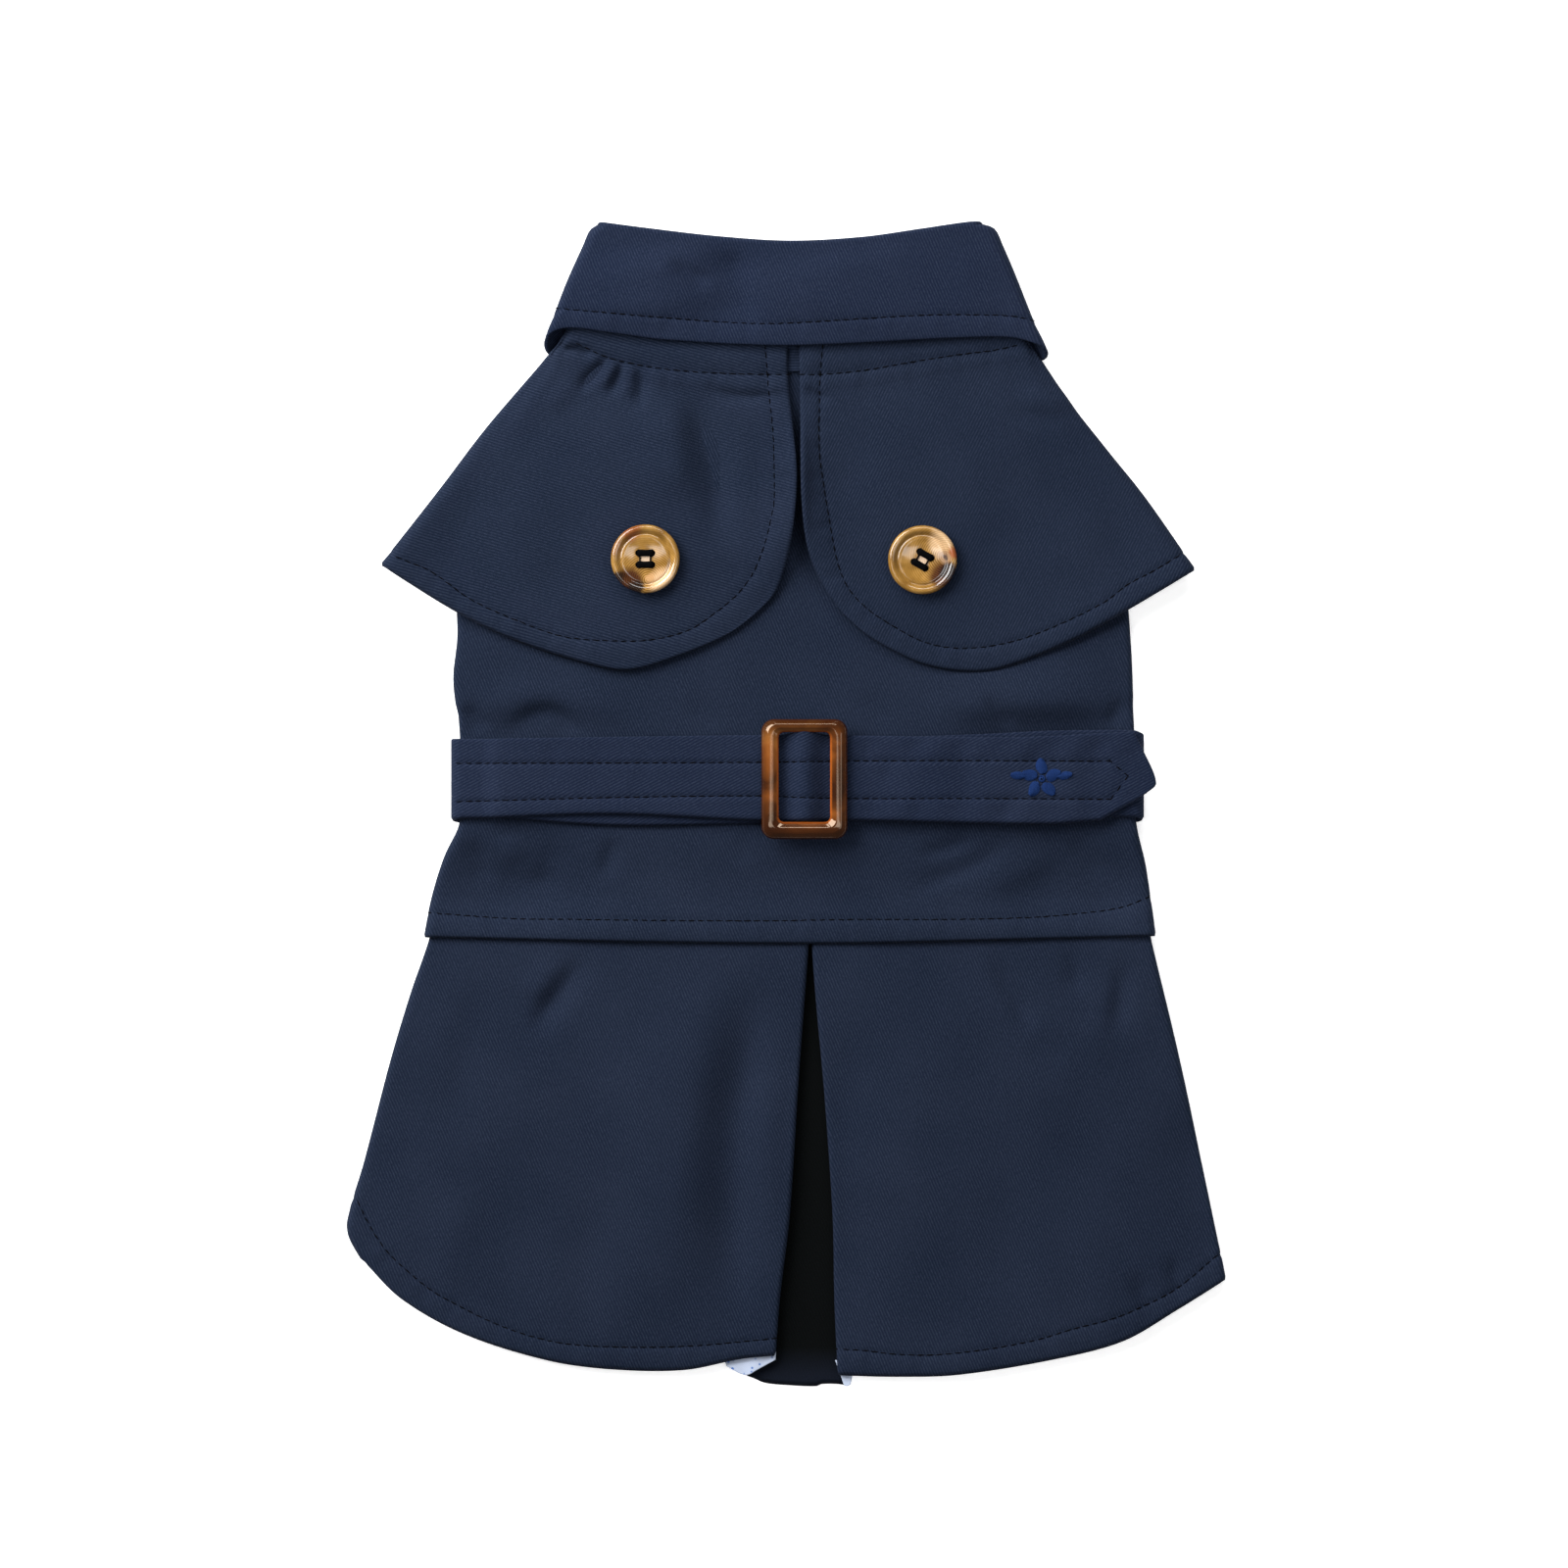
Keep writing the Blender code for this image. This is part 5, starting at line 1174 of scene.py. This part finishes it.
# The section, from the window's edge over the top to the outer edge and back underneath: share across, height
SECTION = [(0.03, 0.15), (0.0, 0.33), (0.0, 0.5), (0.03, 0.64), (0.08, 0.73), (0.14, 0.79), (0.22, 0.86),
           (0.29, 0.935), (0.33, 0.975), (0.37, 0.995), (0.41, 0.998), (0.46, 0.988), (0.52, 0.974),
           (0.58, 0.959), (0.64, 0.935), (0.71, 0.865), (0.79, 0.75), (0.88, 0.645), (0.95, 0.53),
           (0.99, 0.4), (1.0, 0.28), (0.985, 0.12), (0.93, 0.02), (0.80, 0.0), (0.50, 0.0), (0.20, 0.0),
           (0.08, 0.03)]

# Cast polyester resin, polished: soft dark brown clouds drawn out along the length, a few pale patches, and
# orange where it thins at the window's edge
TORTOISE, tree, shader = new_material("tortoise polyester resin", {
    "Roughness": 0.09, "IOR": 1.55, "Specular Tint": linear("#ffe2c0"), "Coat Weight": 0.3,
    "Coat Tint": linear("#ffe8cc"), "Coat Roughness": 0.06,
})
place = add(tree, "ShaderNodeTexCoord").outputs["Object"]
blotch = calc(tree, "MULTIPLY", noise(tree, place, 45.0, 1.0), 0.5)
level = calc(tree, "MULTIPLY_ADD", noise(tree, place, 90.0, 2.0, Distortion=0.8), 0.5, blotch)
colour = ramp(tree, level, (0.36, "#2c1407"), (0.45, "#4b270c"), (0.54, "#6f3e17"), (0.66, "#96602c"))
edge = add(tree, "ShaderNodeAttribute", attribute_name="across").outputs["Fac"]
colour = blend(tree, ranged(tree, edge, 0.03, 0.14, 0.9, 0.0), colour, linear("#a3551c"))
# Painted shade: the two ends of the slide are painted darkest, and its outer rim is painted darker too
reach = calc(tree, "SUBTRACT", add(tree, "ShaderNodeSeparateXYZ", {0: place}).outputs["Y"], SLIDE_AT[1] * MM)
painted_end_shade = ranged(tree, calc(tree, "ABSOLUTE", reach), 9.5 * MM, 15.5 * MM, 0.0, 0.85)
for share in (painted_end_shade, ranged(tree, edge, 0.6, 1.0, 0.0, 0.6)):
    colour = blend(tree, share, colour, linear("#2a1206"))
tree.links.new(colour, shader.inputs["Base Color"])

points = np.vstack([
    np.column_stack([mix(inner, outer, share), np.full(len(inner), SLIDE_LOW + SLIDE["thick"] * high)])
    for share, high in SECTION
]) + (*SLIDE_AT, 0.0)
slide = surface("slide", points, wrapped(len(SECTION), len(inner)), TORTOISE)
shape = bmesh.new()
shape.from_mesh(slide.data)
across = shape.verts.layers.float.new("across")
for k, vertex in enumerate(shape.verts):
    vertex[across] = SECTION[k // len(inner)][0]
bar = bmesh.ops.create_cone(
    shape, cap_ends=True, segments=24, radius1=MIDDLE_BAR[0] * MM, radius2=MIDDLE_BAR[0] * MM,
    depth=(SLIDE["length"] - SLIDE["end_bar"]) * MM, matrix=Matrix.Rotation(math.pi / 2, 4, "X"),
)["verts"]
bmesh.ops.translate(shape, verts=bar, vec=Vector((*SLIDE_AT, MIDDLE_BAR[1])) * MM)
for vertex in bar:
    vertex[across] = 0.5
write(shape, slide.data)
slide.data.shade_smooth()
show(slide, "tortoise_resin", "belt_slide")

# ------------------------------------------------------------------------------------------- buttons
# Two coat buttons, 20 mm across, turned from cast resin in a horn look, with a rim, a ring groove and four
# holes. Each is sewn on through the flap with black thread, in two bars.

BUTTON_PROFILE = [(0.0, 1.42), (2.4, 1.46), (4.6, 1.58), (5.9, 1.82), (6.7, 2.02), (7.05, 1.86), (7.3, 1.72),
                  (7.55, 1.88), (7.9, 2.3), (8.4, 2.72), (8.9, 2.88), (9.35, 2.8), (9.75, 2.45), (9.96, 1.95),
                  (10.0, 1.5), (9.85, 0.95), (9.4, 0.5), (8.6, 0.18), (7.4, 0.05), (0.0, 0.0)]
HOLE_ACROSS = (1.95, 1.7)  # half the distance between the holes, along and across the thread
HOLE_RADIUS = 0.95
HORN_RINGS = 0.62  # from ring to ring
# The eye of the rings, and patches of other colours: place from the middle, size, colour and strength
HORN = {
    "left": ((0.8, -6.2), [
        ((-4.2, 8.6), 4.4, "#743a18", 0.8), ((-8.6, 3.4), 3.6, "#7f4c22", 0.5),
        ((5.4, -7.0), 5.6, "#c4a17a", 0.9), ((-4.8, -6.6), 5.4, "#3a1b0d", 1.0),
        ((-2.8, -8.6), 3.2, "#180c08", 1.0), ((-7.6, -5.6), 2.4, "#190d08", 0.9),
        ((1.4, -5.8), 1.9, "#b0875a", 0.9), ((0.0, 0.0), 2.4, "#c4ab92", 0.9),
    ]),
    "right": ((6.5, 0.8), [
        ((5.4, 5.4), 5.0, "#c8a67e", 0.8), ((6.2, -4.6), 5.6, "#3c1d0e", 1.0),
        ((7.4, -3.2), 3.2, "#180c08", 1.0), ((9.4, 2.2), 2.6, "#8a4420", 0.9),
        ((6.5, 0.8), 2.6, "#93755a", 0.9), ((6.6, 0.7), 1.0, "#4a3a34", 0.9),
        ((0.0, 0.0), 2.4, "#c4ab92", 0.9),
    ]),
}


def vector(tree, operation, first, second):
    """What a Vector Math node makes of two values or sockets. The second one of SCALE is its factor."""
    inputs = {0: first, "Scale" if operation == "SCALE" else 1: second}
    made = add(tree, "ShaderNodeVectorMath", inputs, operation=operation)
    return made.outputs["Value" if operation == "DISTANCE" else "Vector"]


def horn_material(name, middle, eye, patches):
    """Cast resin in a horn look, polished: caramel, with fine rings round an off-centre eye and clouds of
    cream and dark brown beside it."""
    material, tree, shader = new_material(
        name, {"Roughness": 0.14, "IOR": 1.55, "Coat Weight": 0.2, "Coat Roughness": 0.06}
    )
    place = add(tree, "ShaderNodeTexCoord").outputs["Object"]
    cloud = add(tree, "ShaderNodeTexNoise", {"Vector": place, "Scale": 240.0, "Detail": 2.0}).outputs
    level = vector(tree, "MULTIPLY", place, (1.0, 1.0, 0.0))
    drawn = vector(tree, "SUBTRACT", cloud["Color"], (0.5, 0.5, 0.5))

    def distance(x, y, unevenness):
        """How far from a place on the button, its circles warped by some millimetres."""
        warped = vector(tree, "ADD", level, vector(tree, "SCALE", drawn, unevenness * MM))
        return vector(tree, "DISTANCE", warped, ((middle[0] + x) * MM, (middle[1] + y) * MM, 0.0))

    from_eye = distance(*eye, 0.5)
    rings = calc(tree, "SINE", calc(tree, "MULTIPLY", from_eye, 2 * math.pi / (HORN_RINGS * MM)))
    fading = ranged(tree, from_eye, 1.0 * MM, 11.0 * MM, 0.45, 0.05)
    ringed = calc(tree, "MULTIPLY_ADD", rings, fading, cloud["Fac"])
    colour = ramp(tree, ringed, (0.2, "#6b4a1b"), (0.5, "#86622a"), (0.85, "#a98146"))
    streaks = calc(tree, "MULTIPLY_ADD", rings, 0.22, 1.0)
    for at, size, code, strength in patches:
        share = ranged(tree, distance(*at, 2.6), 0.4 * size * MM, size * MM, strength, 0.0,
                       interpolation_type="SMOOTHSTEP")
        colour = blend(tree, calc(tree, "MULTIPLY", streaks, share, use_clamp=True), colour, linear(code))
    tree.links.new(colour, shader.inputs["Base Color"])
    return material


for name, (x, y, turn) in BUTTONS.items():
    seat = float(cape_height(x, y)) + DOUBLE / 2 + 0.05
    shape = bmesh.new()
    rim = [shape.verts.new((r * MM, 0.0, z * MM)) for r, z in BUTTON_PROFILE]
    edges = [shape.edges.new(pair) for pair in zip(rim, rim[1:])]
    bmesh.ops.spin(shape, geom=rim + edges, cent=(0, 0, 0), axis=(0, 0, 1), angle=2 * math.pi, steps=72,
                   use_merge=True)
    bmesh.ops.remove_doubles(shape, verts=shape.verts, dist=0.004 * MM)
    button = put(f"coat_button_{name}", bpy.data.meshes.new(f"coat_button_{name}"))
    button.data.materials.append(horn_material(f"horn resin {name}", (x, y), *HORN[name]))
    write(shape, button.data)
    angle = math.radians(turn)
    ax, ay = np.array([math.cos(angle), math.sin(angle)]), np.array([-math.sin(angle), math.cos(angle)])
    corners = [(-1, -1), (-1, 1), (1, -1), (1, 1)]
    holes = [side_x * HOLE_ACROSS[0] * ax + side_y * HOLE_ACROSS[1] * ay for side_x, side_y in corners]
    punch(button, holes, HOLE_RADIUS, HOLE_RADIUS, 20)
    button.data.transform(Matrix.Translation((x * MM, y * MM, seat * MM)))
    shape = bmesh.new()
    shape.from_mesh(button.data)
    for edge in shape.edges:
        edge.smooth = edge.calc_face_angle(0.0) < math.radians(40)
    shape.to_mesh(button.data)
    shape.free()
    button.data.shade_smooth()
    show(button, "horn_resin", f"button_{name}")

    # The thread: two bars of five turns each, bunched between the holes that they dip into, and a turn across
    # at each end
    runs = [((-1, side), (1, side), (k - 2) * 0.42) for side in (-1, 1) for k in range(5)]
    runs += [((side, -1), (side, 1), -0.4 * side) for side in (-1, 1)]
    points, edges = [], []
    for start, end, aside in runs:
        crosswise = start[0] == end[0]
        for step in np.linspace(-1.0, 1.0, 11):
            reach, off = mix(np.array(start), np.array(end), (step + 1) / 2) * HOLE_ACROSS
            if crosswise:
                reach += aside
                level = 1.6
            else:
                reach += 0.68 * step
                off += aside * (0.82 + 0.2 * step * step)
                level = 2.0 - 0.3 * (aside / 0.84) ** 2
            high = seat + level - 2.4 * smooth((abs(step) - 0.78) / 0.22)
            points.append(np.array([*(np.array((x, y)) + reach * ax + off * ay), high]) * MM)
        first = len(points) - 11
        edges += [(first + n, first + n + 1) for n in range(10)]
    bars = through_tree(f"button_thread_{name}", thread_tree, points, edges,
                        {"Thread": BLACK_THREAD, "Thread Radius": 0.26 * MM})
    show(bars, "navy_twill")

# ------------------------------------------------------------------------------------------- stage
# A white table that is faintly lit from below, under soft light from both sides and above, with the camera
# straight over the dress.

CARD, _, _ = new_material("matt white card", {
    "Base Color": (0.93, 0.93, 0.93, 1.0), "Roughness": 0.9, "Specular IOR Level": 0.2,
    "Emission Color": (1.0, 1.0, 1.0, 1.0), "Emission Strength": 0.54,
})
TABLE = 3.0  # metres from its middle to its edges
mesh = bpy.data.meshes.new("floor")
rim = [(x * TABLE, y * TABLE, 0.0) for x, y in ((-1, -1), (1, -1), (1, 1), (-1, 1))]
mesh.from_pydata(rim, [], [(0, 1, 2, 3)])
mesh.materials.append(CARD)
floor = put("floor", mesh)
floor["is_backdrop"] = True

world = bpy.data.worlds.new("studio")
world.use_nodes = True
sky = world.node_tree.nodes["Background"].inputs
sky["Color"].default_value = (1.0, 1.0, 1.0, 1.0)
sky["Strength"].default_value = 0.12
bpy.context.scene.world = world

# Place, width and length of each soft box, and its power in watts
for name, place, size, power in (
    ("key", (-0.95, 0.75, 0.8), (1.2, 1.0), 48.0),
    ("neck", (0.1, 1.3, 0.85), (1.1, 0.35), 12.0),
    ("right", (0.95, -0.2, 0.9), (0.7, 0.7), 3.0),
    ("left strip", (-0.66, -0.2, 2.0), (0.38, 1.0), 5.4),
    ("right strip", (0.66, -0.2, 2.0), (0.38, 1.0), 5.4),
):
    lamp = bpy.data.lights.new(name, "AREA")
    lamp.shape = "RECTANGLE"
    lamp.size, lamp.size_y = size
    lamp.energy = power
    light = put(name, lamp)
    light.location = place
    light.rotation_euler = Vector(place).to_track_quat("Z", "Y").to_euler()

VIEW_WIDTH = 0.456  # metres of floor across the picture
CAMERA_HIGH = 3.0
camera = put("camera", bpy.data.cameras.new("camera"))
camera.location = (-0.00086, 0.0058, CAMERA_HIGH)
camera.data.sensor_width = 36.0
camera.data.lens = 36.0 * CAMERA_HIGH / VIEW_WIDTH
camera.data.clip_end = 20.0
bpy.context.scene.camera = camera
bpy.context.scene.view_settings.view_transform = "Standard"

low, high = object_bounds()
